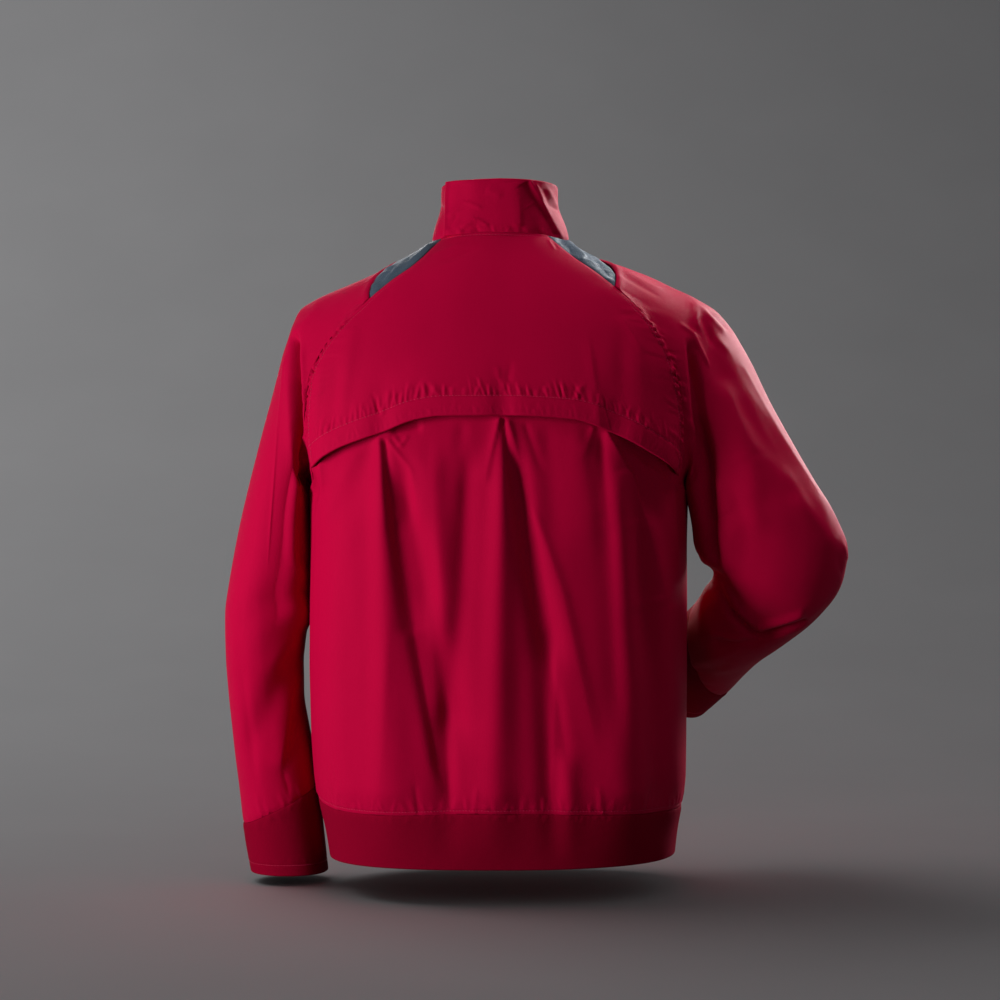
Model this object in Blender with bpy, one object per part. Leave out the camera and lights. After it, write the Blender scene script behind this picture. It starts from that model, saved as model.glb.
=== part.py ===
"""A zip-front windbreaker with raglan sleeves and a vented back yoke, hollow and filled out as if worn.

Metres, +Z up. The front faces -Y and the wearer's left is +X. The origin is the middle of the neck
opening, level with the back neck seam. "down" is the distance below that seam. "around" is a place
round the body: 0 at the centre back, 1 at the wearer's left side, 2 at the centre front, and
negative on the wearer's right.
"""

import math

import bpy
import numpy as np

# Driving sizes
SEAM_GAP = 0.0003  # between two pieces that are sewn together
WOVEN_WALL = 0.0016
KNIT_WALL = 0.0024
ZIP_OPENING = 0.012  # width that shows between the two front edges
NECK_DROP = 0.064  # centre front neck below the back neck
UNDERARM_DOWN = 0.280
COLLAR_FRONT_TOP = 0.008  # collar's top at the centre front, above the back neck seam
YOKE_OVERLAP = 0.050  # how far the lower back runs up under the yoke
YOKE_FLARE = 0.0065  # how far the yoke's free edge stands off the body's form
YOKE_TUCK = 0.0035  # how far the lower back sinks behind that edge
YOKE_CORNER_GAP = 0.001  # between the two edges where the vent runs out at the raglan seams

# Cells of each seam, shared by the pieces on both its sides
NECK_CELLS = 24  # yoke's neck edge
TAIL_CELLS = 4  # raglan seam beside an insert
RAGLAN_CELLS = 8  # raglan seam beside a sleeve
UNDERARM_CELLS = 2
SHOULDER_CELLS = 4  # insert's neck edge
FRONT_NECK_CELLS = 8
VENT_CELLS = 34  # lower back's hidden top edge
CROWN_CELLS = 2 * TAIL_CELLS + SHOULDER_CELLS  # insert's sleeve edge


def smooth_read(keys, values, places):
    """Values at the places, on a curve through the rows that never overshoots them."""
    widths = np.diff(keys)
    rises = np.diff(values) / widths
    slopes = np.zeros_like(values)
    slopes[0], slopes[-1] = rises[0], rises[-1]
    for i in range(1, len(keys) - 1):
        if rises[i - 1] * rises[i] > 0:
            before = 2 * widths[i] + widths[i - 1]
            after = widths[i] + 2 * widths[i - 1]
            slopes[i] = (before + after) / (before / rises[i - 1] + after / rises[i])
    places = np.clip(places, keys[0], keys[-1])
    cell = np.clip(np.searchsorted(keys, places) - 1, 0, len(widths) - 1)
    width = widths[cell]
    t = (places - keys[cell]) / width
    return (
        values[cell] * (1 + 2 * t) * (1 - t) ** 2
        + width * slopes[cell] * t * (1 - t) ** 2
        + values[cell + 1] * t * t * (3 - 2 * t)
        + width * slopes[cell + 1] * t * t * (t - 1)
    )


class Table:
    """Rows of sizes under named columns, read anywhere along the first column."""

    def __init__(self, columns, *rows):
        self.names = columns.split()
        self.rows = np.array(rows, float)

    def column(self, name):
        return self.rows[:, self.names.index(name)]

    def read(self, name, places):
        return smooth_read(self.rows[:, 0], self.column(name), np.asarray(places, float))

    def each(self):
        return [dict(zip(self.names, row)) for row in self.rows]


# The body's sections, from the neck to the bottom of the hem band. Above the underarm they take in
# the shoulders, so that the raglan seams lie on them.
BODY = Table(
    "down half back front power middle",
    (0.000, 0.0675, 0.066, 0.060, 2.2, 0.000),
    (0.020, 0.1000, 0.080, 0.070, 2.3, 0.000),
    (0.050, 0.1580, 0.100, 0.085, 2.4, 0.000),
    (0.080, 0.2120, 0.116, 0.100, 2.4, 0.000),
    (0.110, 0.2310, 0.128, 0.112, 2.5, 0.000),
    (0.150, 0.2370, 0.140, 0.124, 2.5, 0.000),
    (0.200, 0.2350, 0.148, 0.133, 2.5, 0.000),
    (0.250, 0.2240, 0.152, 0.138, 2.6, 0.001),
    (0.280, 0.2050, 0.153, 0.139, 2.8, 0.001),
    (0.400, 0.2035, 0.152, 0.140, 2.9, 0.0015),
    (0.500, 0.2030, 0.149, 0.138, 2.9, 0.0015),
    (0.580, 0.2010, 0.146, 0.135, 2.8, 0.000),
    (0.610, 0.1965, 0.141, 0.130, 2.8, -0.001),
    (0.640, 0.1905, 0.136, 0.126, 2.8, -0.002),
    (0.668, 0.1865, 0.131, 0.122, 2.8, -0.0025),
)

# Back raglan seams from the neck to the last point before the underarm, as seen from behind. "way"
# is 1 at the insert's tail and 2 where the yoke ends.
BACK_RAGLAN = {
    "left": Table(
        "way across down",
        (0.00, 0.0633, 0.004),
        (0.40, 0.0931, 0.036),
        (0.70, 0.1139, 0.052),
        (1.00, 0.1375, 0.073),
        (1.20, 0.1680, 0.103),
        (1.40, 0.1895, 0.132),
        (1.60, 0.2015, 0.165),
        (1.80, 0.2036, 0.210),
        (2.00, 0.1990, 0.253),
    ),
    "right": Table(
        "way across down",
        (0.00, 0.0513, 0.002),
        (0.40, 0.0795, 0.027),
        (0.70, 0.1000, 0.042),
        (1.00, 0.1210, 0.060),
        (1.20, 0.1500, 0.088),
        (1.40, 0.1744, 0.126),
        (1.60, 0.1875, 0.168),
        (1.80, 0.1920, 0.215),
        (2.00, 0.1880, 0.262),
    ),
}
FRONT_RAGLAN = Table(
    "way across down",
    (0.00, 0.0600, 0.026),
    (0.50, 0.0880, 0.048),
    (1.00, 0.1200, 0.077),
    (1.20, 0.1430, 0.103),
    (1.40, 0.1620, 0.137),
    (1.60, 0.1750, 0.175),
    (1.80, 0.1810, 0.215),
    (2.00, 0.1800, 0.252),
)
FRONT_NECK = Table(
    "way across down",
    (0.00, 0.0600, 0.026),
    (0.25, 0.0530, 0.040),
    (0.50, 0.0400, 0.052),
    (0.75, 0.0225, 0.0605),
    (1.00, ZIP_OPENING / 2, NECK_DROP),
)
SHOULDER_RIDGE_DOWN = 0.0225  # where an insert's sleeve edge crosses the top of the shoulder
SIDE_NECK_DOWN = 0.004
CROWN_SPREAD, CROWN_FALL = 1.05, 1.85  # how the insert's sleeve edge rounds over the shoulder

# Lower edges, by place round the body
YOKE_EDGE = Table(
    "across down",
    (-0.190, 0.262),
    (-0.176, 0.2507),
    (-0.154, 0.2364),
    (-0.115, 0.2161),
    (-0.073, 0.2022),
    (-0.003, 0.1986),
    (0.060, 0.1989),
    (0.082, 0.2019),
    (0.1235, 0.2165),
    (0.166, 0.2322),
    (0.187, 0.2443),
    (0.201, 0.253),
)
HEM_SEAM = Table(
    "around down",
    (-2.0, 0.612),
    (-1.0, 0.613),
    (-0.5, 0.611),
    (0.0, 0.608),
    (0.5, 0.611),
    (1.0, 0.604),
    (2.0, 0.612),
)
BAND_EDGE = Table(
    "around down",
    (-2.0, 0.667),
    (-1.0, 0.664),
    (0.0, 0.668),
    (1.0, 0.668),
    (2.0, 0.667),
)

# Points where the yoke is caught down to the lower back, each starting a pleat
TACKS = Table("across down", (0.122, 0.217), (-0.003, 0.199), (-0.115, 0.216))

# Long folds: a ridge or, with a negative rise, a trough, between two ends seen from in front of it
BACK_FOLDS = Table(
    "top_across top_down low_across low_down top_width low_width rise",
    (0.122, 0.215, 0.112, 0.66, 0.010, 0.026, 0.0075),
    (0.106, 0.235, 0.050, 0.52, 0.012, 0.018, -0.0080),
    (0.050, 0.490, 0.054, 0.66, 0.015, 0.015, -0.0060),
    (0.073, 0.225, 0.060, 0.43, 0.012, 0.015, 0.0045),
    (0.034, 0.225, 0.048, 0.50, 0.012, 0.014, -0.0055),
    (-0.003, 0.199, 0.006, 0.66, 0.009, 0.022, 0.0080),
    (-0.014, 0.220, -0.048, 0.44, 0.008, 0.015, -0.0070),
    (-0.046, 0.420, -0.056, 0.66, 0.014, 0.012, -0.0060),
    (-0.068, 0.540, -0.072, 0.66, 0.010, 0.012, 0.0035),
    (-0.115, 0.216, -0.132, 0.66, 0.012, 0.032, 0.0080),
    (-0.139, 0.240, -0.172, 0.66, 0.011, 0.018, -0.0070),
    (0.155, 0.260, 0.158, 0.64, 0.016, 0.022, 0.0030),
)
FRONT_FOLDS = Table(
    "top_across top_down low_across low_down top_width low_width rise",
    (0.120, 0.200, 0.105, 0.64, 0.016, 0.026, 0.0060),
    (0.085, 0.260, 0.062, 0.64, 0.014, 0.020, -0.0060),
    (0.045, 0.300, 0.034, 0.62, 0.014, 0.018, 0.0045),
    (0.150, 0.270, 0.146, 0.64, 0.014, 0.018, -0.0045),
    (-0.112, 0.190, -0.122, 0.64, 0.016, 0.028, 0.0065),
    (-0.078, 0.240, -0.078, 0.64, 0.014, 0.020, -0.0060),
    (-0.040, 0.320, -0.044, 0.62, 0.012, 0.018, 0.0045),
    (-0.152, 0.270, -0.158, 0.64, 0.014, 0.018, -0.0050),
)

# Sleeves: sections from the armhole to the end of the cuff, each between its outer and its inner
# edge as seen from behind, with its half depth to the back and to the front.
SLEEVES = {
    "left": Table(
        "along outer_x outer_z inner_x inner_z y back front",
        (0.000, 0.1000, -0.0225, 0.2050, -0.280, 0.000, 0.096, 0.088),
        (0.050, 0.1400, -0.0425, 0.2062, -0.287, 0.000, 0.097, 0.086),
        (0.100, 0.1790, -0.0590, 0.2070, -0.295, 0.000, 0.095, 0.084),
        (0.160, 0.2165, -0.0790, 0.2075, -0.304, 0.000, 0.090, 0.081),
        (0.230, 0.2325, -0.1220, 0.2080, -0.316, 0.000, 0.084, 0.077),
        (0.300, 0.2465, -0.1730, 0.2080, -0.330, 0.000, 0.078, 0.073),
        (0.370, 0.2600, -0.2220, 0.2080, -0.346, 0.000, 0.074, 0.069),
        (0.440, 0.2725, -0.2700, 0.2080, -0.364, 0.000, 0.070, 0.066),
        (0.510, 0.2835, -0.3180, 0.2080, -0.386, 0.000, 0.066, 0.062),
        (0.580, 0.2925, -0.3660, 0.2090, -0.411, 0.000, 0.063, 0.058),
        (0.640, 0.2985, -0.4110, 0.2125, -0.438, -0.002, 0.060, 0.056),
        (0.700, 0.2985, -0.4490, 0.2150, -0.463, -0.006, 0.057, 0.054),
        (0.760, 0.2968, -0.4900, 0.2145, -0.493, -0.011, 0.054, 0.052),
        (0.820, 0.2940, -0.5310, 0.2110, -0.524, -0.017, 0.051, 0.050),
        (0.880, 0.2905, -0.5720, 0.2045, -0.560, -0.022, 0.048, 0.047),
        (0.920, 0.2860, -0.6110, 0.1995, -0.598, -0.027, 0.046, 0.045),
        (0.960, 0.2820, -0.6500, 0.1950, -0.641, -0.030, 0.044, 0.043),
        (1.000, 0.2745, -0.6930, 0.1895, -0.693, -0.031, 0.042, 0.041),
    ),
    "right": Table(
        "along outer_x outer_z inner_x inner_z y back front",
        (0.000, -0.0990, -0.0200, -0.2050, -0.280, 0.000, 0.096, 0.088),
        (0.050, -0.1450, -0.0360, -0.2072, -0.285, 0.000, 0.102, 0.086),
        (0.100, -0.1900, -0.0560, -0.2095, -0.291, 0.003, 0.102, 0.083),
        (0.160, -0.2360, -0.0810, -0.2120, -0.298, 0.006, 0.098, 0.080),
        (0.230, -0.2640, -0.1220, -0.2135, -0.3055, 0.012, 0.089, 0.075),
        (0.300, -0.2875, -0.1715, -0.2150, -0.3140, 0.020, 0.080, 0.070),
        (0.370, -0.3135, -0.2200, -0.2160, -0.3235, 0.029, 0.071, 0.065),
        (0.430, -0.3375, -0.2650, -0.2180, -0.3335, 0.037, 0.066, 0.058),
        (0.490, -0.3590, -0.3030, -0.2215, -0.3445, 0.043, 0.061, 0.050),
        (0.540, -0.3715, -0.3370, -0.2265, -0.3550, 0.043, 0.057, 0.043),
        (0.590, -0.3660, -0.3690, -0.2295, -0.3650, 0.035, 0.055, 0.040),
        (0.640, -0.3460, -0.3990, -0.2290, -0.3735, 0.018, 0.053, 0.041),
        (0.700, -0.3200, -0.4280, -0.2235, -0.3850, -0.010, 0.051, 0.043),
        (0.770, -0.2960, -0.4540, -0.2170, -0.4000, -0.047, 0.049, 0.045),
        (0.840, -0.2790, -0.4785, -0.2060, -0.4160, -0.086, 0.047, 0.045),
        (0.910, -0.2620, -0.5035, -0.1905, -0.4340, -0.123, 0.045, 0.044),
        (1.000, -0.2400, -0.5290, -0.1670, -0.4640, -0.160, 0.042, 0.042),
    ),
}
SLEEVE_ROWS = 20
SLEEVE_POWER = 2.15
# By these places along it, a sleeve no longer follows the armhole's shape
CROWN_FADE = 0.175
UNDERARM_FADE = 0.20
SPACING_FADE = 0.60
NET_ROWS = 32
RELAX_END, RELAX_FADE, RELAX_PASSES = 0.42, 0.20, 7
CUFF_OUTER_START = {"left": 0.949, "right": 0.900}
CUFF_INNER_START = {"left": 0.918, "right": 0.775}
CUFF_CELLS = 4

# Sleeve creases: a soft band right across the cloth between two places on the sleeve. "turn" is 0 at
# the inner edge, 0.25 at the back, 0.5 at the outer edge and 0.75 at the front.
SLEEVE_CREASES = {
    "left": Table(
        "along_a turn_a along_b turn_b width rise",
        (0.22, 0.17, 0.44, 0.12, 0.016, -0.0030),
        (0.50, 0.08, 0.62, 0.30, 0.018, -0.0035),
        (0.55, 0.02, 0.70, 0.20, 0.016, 0.0030),
        (0.68, 0.10, 0.86, 0.34, 0.018, -0.0030),
        (0.62, 0.86, 0.76, 0.62, 0.018, -0.0040),
        (0.14, 0.84, 0.42, 0.90, 0.018, -0.0045),
    ),
    "right": Table(
        "along_a turn_a along_b turn_b width rise",
        (0.22, 0.19, 0.46, 0.14, 0.018, -0.0030),
        (0.13, 0.37, 0.40, 0.36, 0.014, -0.0035),
        (0.56, 0.04, 0.66, 0.30, 0.014, -0.0065),
        (0.50, 0.02, 0.60, 0.34, 0.018, 0.0045),
        (0.66, 0.02, 0.78, 0.30, 0.018, 0.0050),
        (0.60, 0.95, 0.58, 0.66, 0.014, -0.0060),
        (0.15, 0.84, 0.44, 0.88, 0.018, -0.0045),
    ),
}

COLLAR = Table(
    "height half back front",
    (0.0, 0.0675, 0.0660, 0.0640),
    (0.5, 0.0640, 0.0645, 0.0660),
    (1.0, 0.0630, 0.0630, 0.0700),
)
COLLAR_TOP = Table(
    "around rise",
    (0.0, 0.0570),
    (0.9, 0.0550),
    (1.4, 0.0330),
    (2.0, COLLAR_FRONT_TOP),
)
COLLAR_CELLS = 4

# Zip
TAPE_HALF = ZIP_OPENING / 2 - SEAM_GAP
TAPE_WALL = 0.0014
TAPE_SINK = 0.0006
SLIDER_DROP = 0.016  # slider's middle below the collar's top
SLIDER_HALF_WIDTH = 0.0042
SLIDER_HALF_HEIGHT = 0.0055
SLIDER_WALL = 0.0022
BRIDGE_HALF_WIDTH = 0.0008
BRIDGE_HALF_HEIGHT = 0.0034
BRIDGE_WINDOW = 0.0024
BRIDGE_WALL = 0.0010
PULL_BAR = 0.0012
PULL_HALF_WIDTH = 0.0028
PULL_LENGTH = 0.026
PULL_WINDOW_HALF = 0.0014
PULL_WINDOW_LENGTH = 0.0062

FINISHES = {
    "woven": ((0.352, 0.006, 0.028), 0.55),
    "knit": ((0.150, 0.004, 0.018), 0.85),
    "satin": ((0.085, 0.118, 0.155), 0.35),
    "tape": ((0.120, 0.004, 0.016), 0.80),
    "metal": ((0.350, 0.350, 0.360), 0.35),
}


def clear_scene():
    for item in list(bpy.data.objects):
        bpy.data.objects.remove(item, do_unlink=True)


def material(name):
    colour, roughness = FINISHES[name]
    made = bpy.data.materials.get(name) or bpy.data.materials.new(name)
    made.use_nodes = True
    shader = made.node_tree.nodes["Principled BSDF"]
    shader.inputs["Base Color"].default_value = (*colour, 1)
    shader.inputs["Roughness"].default_value = roughness
    shader.inputs["Metallic"].default_value = 1.0 if name == "metal" else 0.0
    return made


def ease(value):
    value = np.clip(value, 0, 1)
    return value * value * (3 - 2 * value)


def length_shares(points):
    steps = np.linalg.norm(np.diff(points, axis=0), axis=1)
    return np.concatenate([[0], np.cumsum(steps)]) / steps.sum()


# The body's form

ARC_STEPS = 96
ARC_TURNS = np.linspace(0, math.pi / 2, ARC_STEPS + 1)


def quarter_arcs(half, depth, power):
    """Across and deep of each section's quarter, centre to side, with the share of its length so far."""
    half, depth, power = (np.asarray(v, float)[..., None] for v in (half, depth, power))
    reach = (np.sin(ARC_TURNS) / half) ** power + (np.cos(ARC_TURNS) / depth) ** power
    reach = reach ** (-1 / power)
    across, deep = reach * np.sin(ARC_TURNS), reach * np.cos(ARC_TURNS)
    steps = np.hypot(np.diff(across), np.diff(deep))
    so_far = np.concatenate([np.zeros_like(steps[..., :1]), np.cumsum(steps, axis=-1)], axis=-1)
    return across, deep, so_far / so_far[..., -1:]


def section_point(half, depth, power, share):
    across, deep, so_far = quarter_arcs(half, depth, power)
    cell = np.clip((so_far < share[..., None]).sum(axis=-1) - 1, 0, ARC_STEPS - 1)[..., None]

    def pick(values, step=0):
        return np.take_along_axis(values, cell + step, axis=-1)[..., 0]

    before = pick(so_far)
    t = (share - before) / (pick(so_far, 1) - before)
    return (
        pick(across) * (1 - t) + pick(across, 1) * t,
        pick(deep) * (1 - t) + pick(deep, 1) * t,
    )


def body_form(around, down):
    """Points of the body's smooth form, and its level outward direction at each."""
    around, down = np.broadcast_arrays(np.asarray(around, float), np.asarray(down, float))
    turn = np.abs(around)
    at_front = turn > 1
    half, power = BODY.read("half", down), BODY.read("power", down)
    depth = np.where(at_front, BODY.read("front", down), BODY.read("back", down))
    across, deep = section_point(half, depth, power, np.where(at_front, 2 - turn, turn))
    facing = np.where(at_front, -1.0, 1.0)
    side = np.where(around < 0, -1.0, 1.0)
    points = np.stack([BODY.read("middle", down) + side * across, facing * deep, -down], axis=-1)
    out = np.stack(
        [
            side * (across / half) ** (power - 1) / half,
            facing * (deep / depth) ** (power - 1) / depth,
            np.zeros_like(across),
        ],
        axis=-1,
    )
    return points, out / np.linalg.norm(out, axis=-1, keepdims=True)


def around_at(across, down, front=False):
    """The place round the body of a point seen from behind, or from the front."""
    depth = BODY.read("front" if front else "back", down)
    arcs, _, so_far = quarter_arcs(BODY.read("half", down), depth, BODY.read("power", down))
    offset = across - BODY.read("middle", down)
    share = float(np.interp(abs(offset), arcs, so_far))
    turn = 2 - share if front else share
    return math.copysign(turn, across)


def fold_height(folds, points):
    """How far the long folds raise the cloth at the points."""
    height = np.zeros(points.shape[:-1])
    across, down = points[..., 0], -points[..., 2]
    for fold in folds.each():
        t = (down - fold["top_down"]) / (fold["low_down"] - fold["top_down"])
        middle = fold["top_across"] + (fold["low_across"] - fold["top_across"]) * t
        inside = np.clip(t, 0, 1)
        width = fold["top_width"] + (fold["low_width"] - fold["top_width"]) * inside
        grow = ease((t + 0.05) * 4) * ease((1.12 - t) * 5)
        height += fold["rise"] * grow * np.exp(-(((across - middle) / width) ** 2))
    return height


def tack_nearness(across):
    near = np.zeros_like(across)
    for tack in TACKS.each():
        near = np.maximum(near, np.exp(-(((across - tack["across"]) / 0.012) ** 2)))
    return near


def yoke_end(around):
    """0 where the yoke ends at the raglan seams and 1 further in."""
    left = around_at(0.1990, 0.253)
    right = -around_at(-0.1880, 0.262)
    limit = np.where(np.asarray(around) > 0, left, right)
    return ease((limit - np.abs(around)) / 0.10)


def yoke_relief(around, down, points):
    edge = YOKE_EDGE.read("down", points[..., 0])
    near_edge = ease(1 - (edge - down) / 0.075)
    flare = YOKE_FLARE * (1 - 0.5 * tack_nearness(points[..., 0]))
    return flare * near_edge * yoke_end(around)


def lower_back_relief(around, down, points):
    edge = YOKE_EDGE.read("down", points[..., 0])
    below = ease((down - edge) / 0.055)
    tuck = YOKE_TUCK * (1 - 0.75 * tack_nearness(points[..., 0])) * yoke_end(around)
    at_hem = 1 - 0.55 * ease((down - 0.585) / 0.03)
    inner = ease((1 - np.abs(around)) / 0.12)
    return below * at_hem * inner * fold_height(BACK_FOLDS, points) - tuck * (1 - below)


def front_relief(around, down, points):
    at_hem = 1 - 0.55 * ease((down - 0.585) / 0.03)
    inner = ease((np.abs(around) - 1) / 0.12) * ease((2 - np.abs(around)) / 0.10)
    return at_hem * inner * fold_height(FRONT_FOLDS, points)


def band_relief(around, down, points):
    """The hem band keeps what is left of the folds above it, and loses it towards its edge."""
    fading = 0.45 * (1 - ease((down - 0.605) / 0.075))
    back = ease((1 - np.abs(around)) / 0.12) * fold_height(BACK_FOLDS, points)
    inner = ease((np.abs(around) - 1) / 0.12) * ease((2 - np.abs(around)) / 0.10)
    return fading * np.where(np.abs(around) < 1, back, inner * fold_height(FRONT_FOLDS, points))


def plain_relief(around, down, points):
    return np.zeros(points.shape[:-1])


def on_body(around, down, relief):
    points, out = body_form(around, down)
    return points + out * relief(np.asarray(around), np.asarray(down), points)[..., None]


def unit(vectors):
    return vectors / np.maximum(np.linalg.norm(vectors, axis=-1, keepdims=True), 1e-12)


def body_normals(around, down, relief):
    """Outward directions of a piece on the body, the same for both pieces at a seam."""
    step_around, step_down = 0.012, 0.003
    low, high = np.maximum(down - step_down, 0.0), down + step_down
    across = on_body(around + step_around, down, relief) - on_body(
        around - step_around, down, relief
    )
    along = on_body(around, high, relief) - on_body(around, low, relief)
    normals = unit(np.cross(along, across))
    _, out = body_form(around, down)
    return normals * np.where((normals * out).sum(axis=-1, keepdims=True) < 0, -1, 1)


# Seams, as arrays of (around, down)


def seam_on_table(table, start, end, cells, sign, front):
    """Even steps along part of a seam's table."""
    fine = np.linspace(start, end, 81)
    places = np.array(
        [
            (around_at(sign * table.read("across", w), table.read("down", w), front),
             table.read("down", w))
            for w in fine
        ]
    )
    shares = length_shares(body_form(places[:, 0], places[:, 1])[0])
    even = np.linspace(0, 1, cells + 1)
    return np.stack([np.interp(even, shares, places[:, i]) for i in (0, 1)], axis=1)


def underarm_seam(start, sign):
    """From the end of a raglan seam down and round to the underarm point."""
    turns = np.linspace(0, math.pi / 2, UNDERARM_CELLS + 1)
    around = start[0] + (sign - start[0]) * (1 - np.cos(turns))
    down = start[1] + (UNDERARM_DOWN - start[1]) * np.sin(turns)
    return np.stack([around, down], axis=1)


class Seams:
    """The seams of one side of the garment."""

    def __init__(self, side):
        self.sign = 1 if side == "left" else -1
        back = BACK_RAGLAN[side]
        self.back_tail = seam_on_table(back, 0, 1, TAIL_CELLS, self.sign, False)
        self.back_raglan = seam_on_table(back, 1, 2, RAGLAN_CELLS, self.sign, False)
        self.back_underarm = underarm_seam(self.back_raglan[-1], self.sign)
        self.front_tail = seam_on_table(FRONT_RAGLAN, 0, 1, TAIL_CELLS, self.sign, True)
        self.front_raglan = seam_on_table(FRONT_RAGLAN, 1, 2, RAGLAN_CELLS, self.sign, True)
        self.front_underarm = underarm_seam(self.front_raglan[-1], self.sign)
        self.front_neck = seam_on_table(FRONT_NECK, 0, 1, FRONT_NECK_CELLS, self.sign, True)
        self.shoulder_neck = self.shoulder_neck_seam()
        self.crown = self.crown_seam()

    def shoulder_neck_seam(self):
        """An insert's neck edge, from its back corner to its front corner."""
        back, front = self.back_tail[0], self.front_tail[0]
        shares = np.linspace(-1, 1, SHOULDER_CELLS + 1)
        end = np.where((shares < 0)[:, None], back, front)
        around = self.sign + (end[:, 0] - self.sign) * np.abs(shares)
        down = SIDE_NECK_DOWN + (end[:, 1] - SIDE_NECK_DOWN) * shares**2
        return np.stack([around, down], axis=1)

    def crown_seam(self):
        """An insert's sleeve edge, from its back tail over the shoulder to its front tail."""
        back, front = self.back_raglan[0], self.front_raglan[0]
        shares = np.linspace(-1, 1, CROWN_CELLS + 1)
        tail = np.where(shares < 0, back[0], front[0])
        tail_down = np.where(shares < 0, back[1], front[1])
        around = self.sign + (tail - self.sign) * np.abs(shares) ** CROWN_SPREAD
        down = SHOULDER_RIDGE_DOWN + (tail_down - SHOULDER_RIDGE_DOWN) * np.abs(shares) ** CROWN_FALL
        return np.stack([around, down], axis=1)

    def armhole(self):
        """The whole armhole, from the underarm up the back and down the front, without its last point."""
        parts = [
            self.back_underarm[::-1][:-1],
            self.back_raglan[::-1][:-1],
            self.crown[:-1],
            self.front_raglan[:-1],
            self.front_underarm[:-1],
        ]
        return np.concatenate(parts)


SIDES = ("left", "right")
SEAMS = {side: Seams(side) for side in SIDES}

# Places down the side seams and the centre front, closer together near the yoke's edge
ROW_SHARES = np.array([0, 0.05, 0.11, 0.18, 0.26, 0.35, 0.45, 0.55, 0.65, 0.75, 0.84, 0.92, 1.0])


def side_seam(sign):
    down = UNDERARM_DOWN + (HEM_SEAM.read("down", sign) - UNDERARM_DOWN) * ROW_SHARES
    return np.stack([np.full_like(down, sign), down], axis=1)


def centre_front(sign):
    low = HEM_SEAM.read("down", 2.0)
    downs = NECK_DROP + (low - NECK_DROP) * ROW_SHARES
    return np.array([(around_at(sign * ZIP_OPENING / 2, d, True), d) for d in downs])


def coons(top, bottom, first, last, column_shares, row_shares):
    """A grid of (around, down) between four edges; rows run from top to bottom."""
    u = np.asarray(column_shares)[None, :, None]
    v = np.asarray(row_shares)[:, None, None]
    across = first[:, None] * (1 - u) + last[:, None] * u
    along = top[None] * (1 - v) + bottom[None] * v
    corners = (top[0] * (1 - u) + top[-1] * u) * (1 - v) + (
        bottom[0] * (1 - u) + bottom[-1] * u
    ) * v
    return across + along - corners


# Walls


def pull_edge(points, normals, edge, inner):
    """Moves an edge of a piece square to itself, towards the piece, by half of the seam gap."""
    along = np.gradient(points[edge], axis=0)
    square = unit(np.cross(along, normals[edge]))
    towards = points[inner] - points[edge]
    square *= np.where((square * towards).sum(axis=-1, keepdims=True) < 0, -1, 1)
    return square * SEAM_GAP / 2


def pulled(points, normals, closed=False):
    """The grid with each of its edges moved in by half of the seam gap."""
    shift = np.zeros_like(points)
    for edge, inner in ((0, 1), (-1, -2)):
        if closed:
            ring = np.concatenate([points[edge][-1:], points[edge], points[edge][:1]])
            along = (ring[2:] - ring[:-2]) / 2
            square = unit(np.cross(along, normals[edge]))
            towards = points[inner] - points[edge]
            square *= np.where((square * towards).sum(axis=-1, keepdims=True) < 0, -1, 1)
            shift[edge] += square * SEAM_GAP / 2
        else:
            shift[edge] += pull_edge(points, normals, edge, inner)
            shift[:, edge] += pull_edge(
                points.swapaxes(0, 1), normals.swapaxes(0, 1), edge, inner
            )
    return points + shift


def make_object(name, vertices, faces, finish):
    mesh = bpy.data.meshes.new(name)
    mesh.from_pydata([tuple(v) for v in vertices], [], faces)
    mesh.validate()
    mesh.shade_smooth()
    mesh.set_sharp_from_angle(angle=math.radians(50))
    mesh.materials.append(material(finish))
    made = bpy.data.objects.new(name, mesh)
    bpy.context.scene.collection.objects.link(made)
    return made


def signed_volume(vertices, faces):
    total = 0.0
    for face in faces:
        corners = vertices[list(face)]
        for i in range(1, len(face) - 1):
            total += np.dot(corners[0], np.cross(corners[i], corners[i + 1]))
    return total / 6


def wall_faces(rows, columns, closed):
    """Quads of a wall whose outer points come first and whose inner points follow."""
    inner = rows * columns
    last = columns if closed else columns - 1

    def at(row, column, layer):
        return layer * inner + row * columns + column % columns

    faces = []
    for row in range(rows - 1):
        for column in range(last):
            loop = [(row, column), (row, column + 1), (row + 1, column + 1), (row + 1, column)]
            faces.append([at(*place, 0) for place in loop])
            faces.append([at(*place, 1) for place in reversed(loop)])
    for column in range(last):
        for row, order in ((0, 1), (rows - 1, -1)):
            rim = [at(row, column, 0), at(row, column, 1), at(row, column + 1, 1), at(row, column + 1, 0)]
            faces.append(rim[::order])
    if not closed:
        for row in range(rows - 1):
            for column, order in ((0, -1), (columns - 1, 1)):
                rim = [at(row, column, 0), at(row, column, 1), at(row + 1, column, 1), at(row + 1, column, 0)]
                faces.append(rim[::order])
    return faces


def make_wall(name, points, normals, thickness, finish, closed=False):
    points = pulled(points, normals, closed)
    outer = points.reshape(-1, 3)
    inner = (points - normals * thickness).reshape(-1, 3)
    vertices = np.concatenate([outer, inner])
    faces = wall_faces(points.shape[0], points.shape[1], closed)
    if signed_volume(vertices, faces) < 0:
        faces = [face[::-1] for face in faces]
    return make_object(name, vertices, faces, finish)


def make_body_wall(name, grid, relief, thickness, finish):
    around, down = grid[..., 0], grid[..., 1]
    points = on_body(around, down, relief)
    normals = body_normals(around, down, relief)
    return make_wall(name, points, normals, thickness, finish)


# Panels


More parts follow.
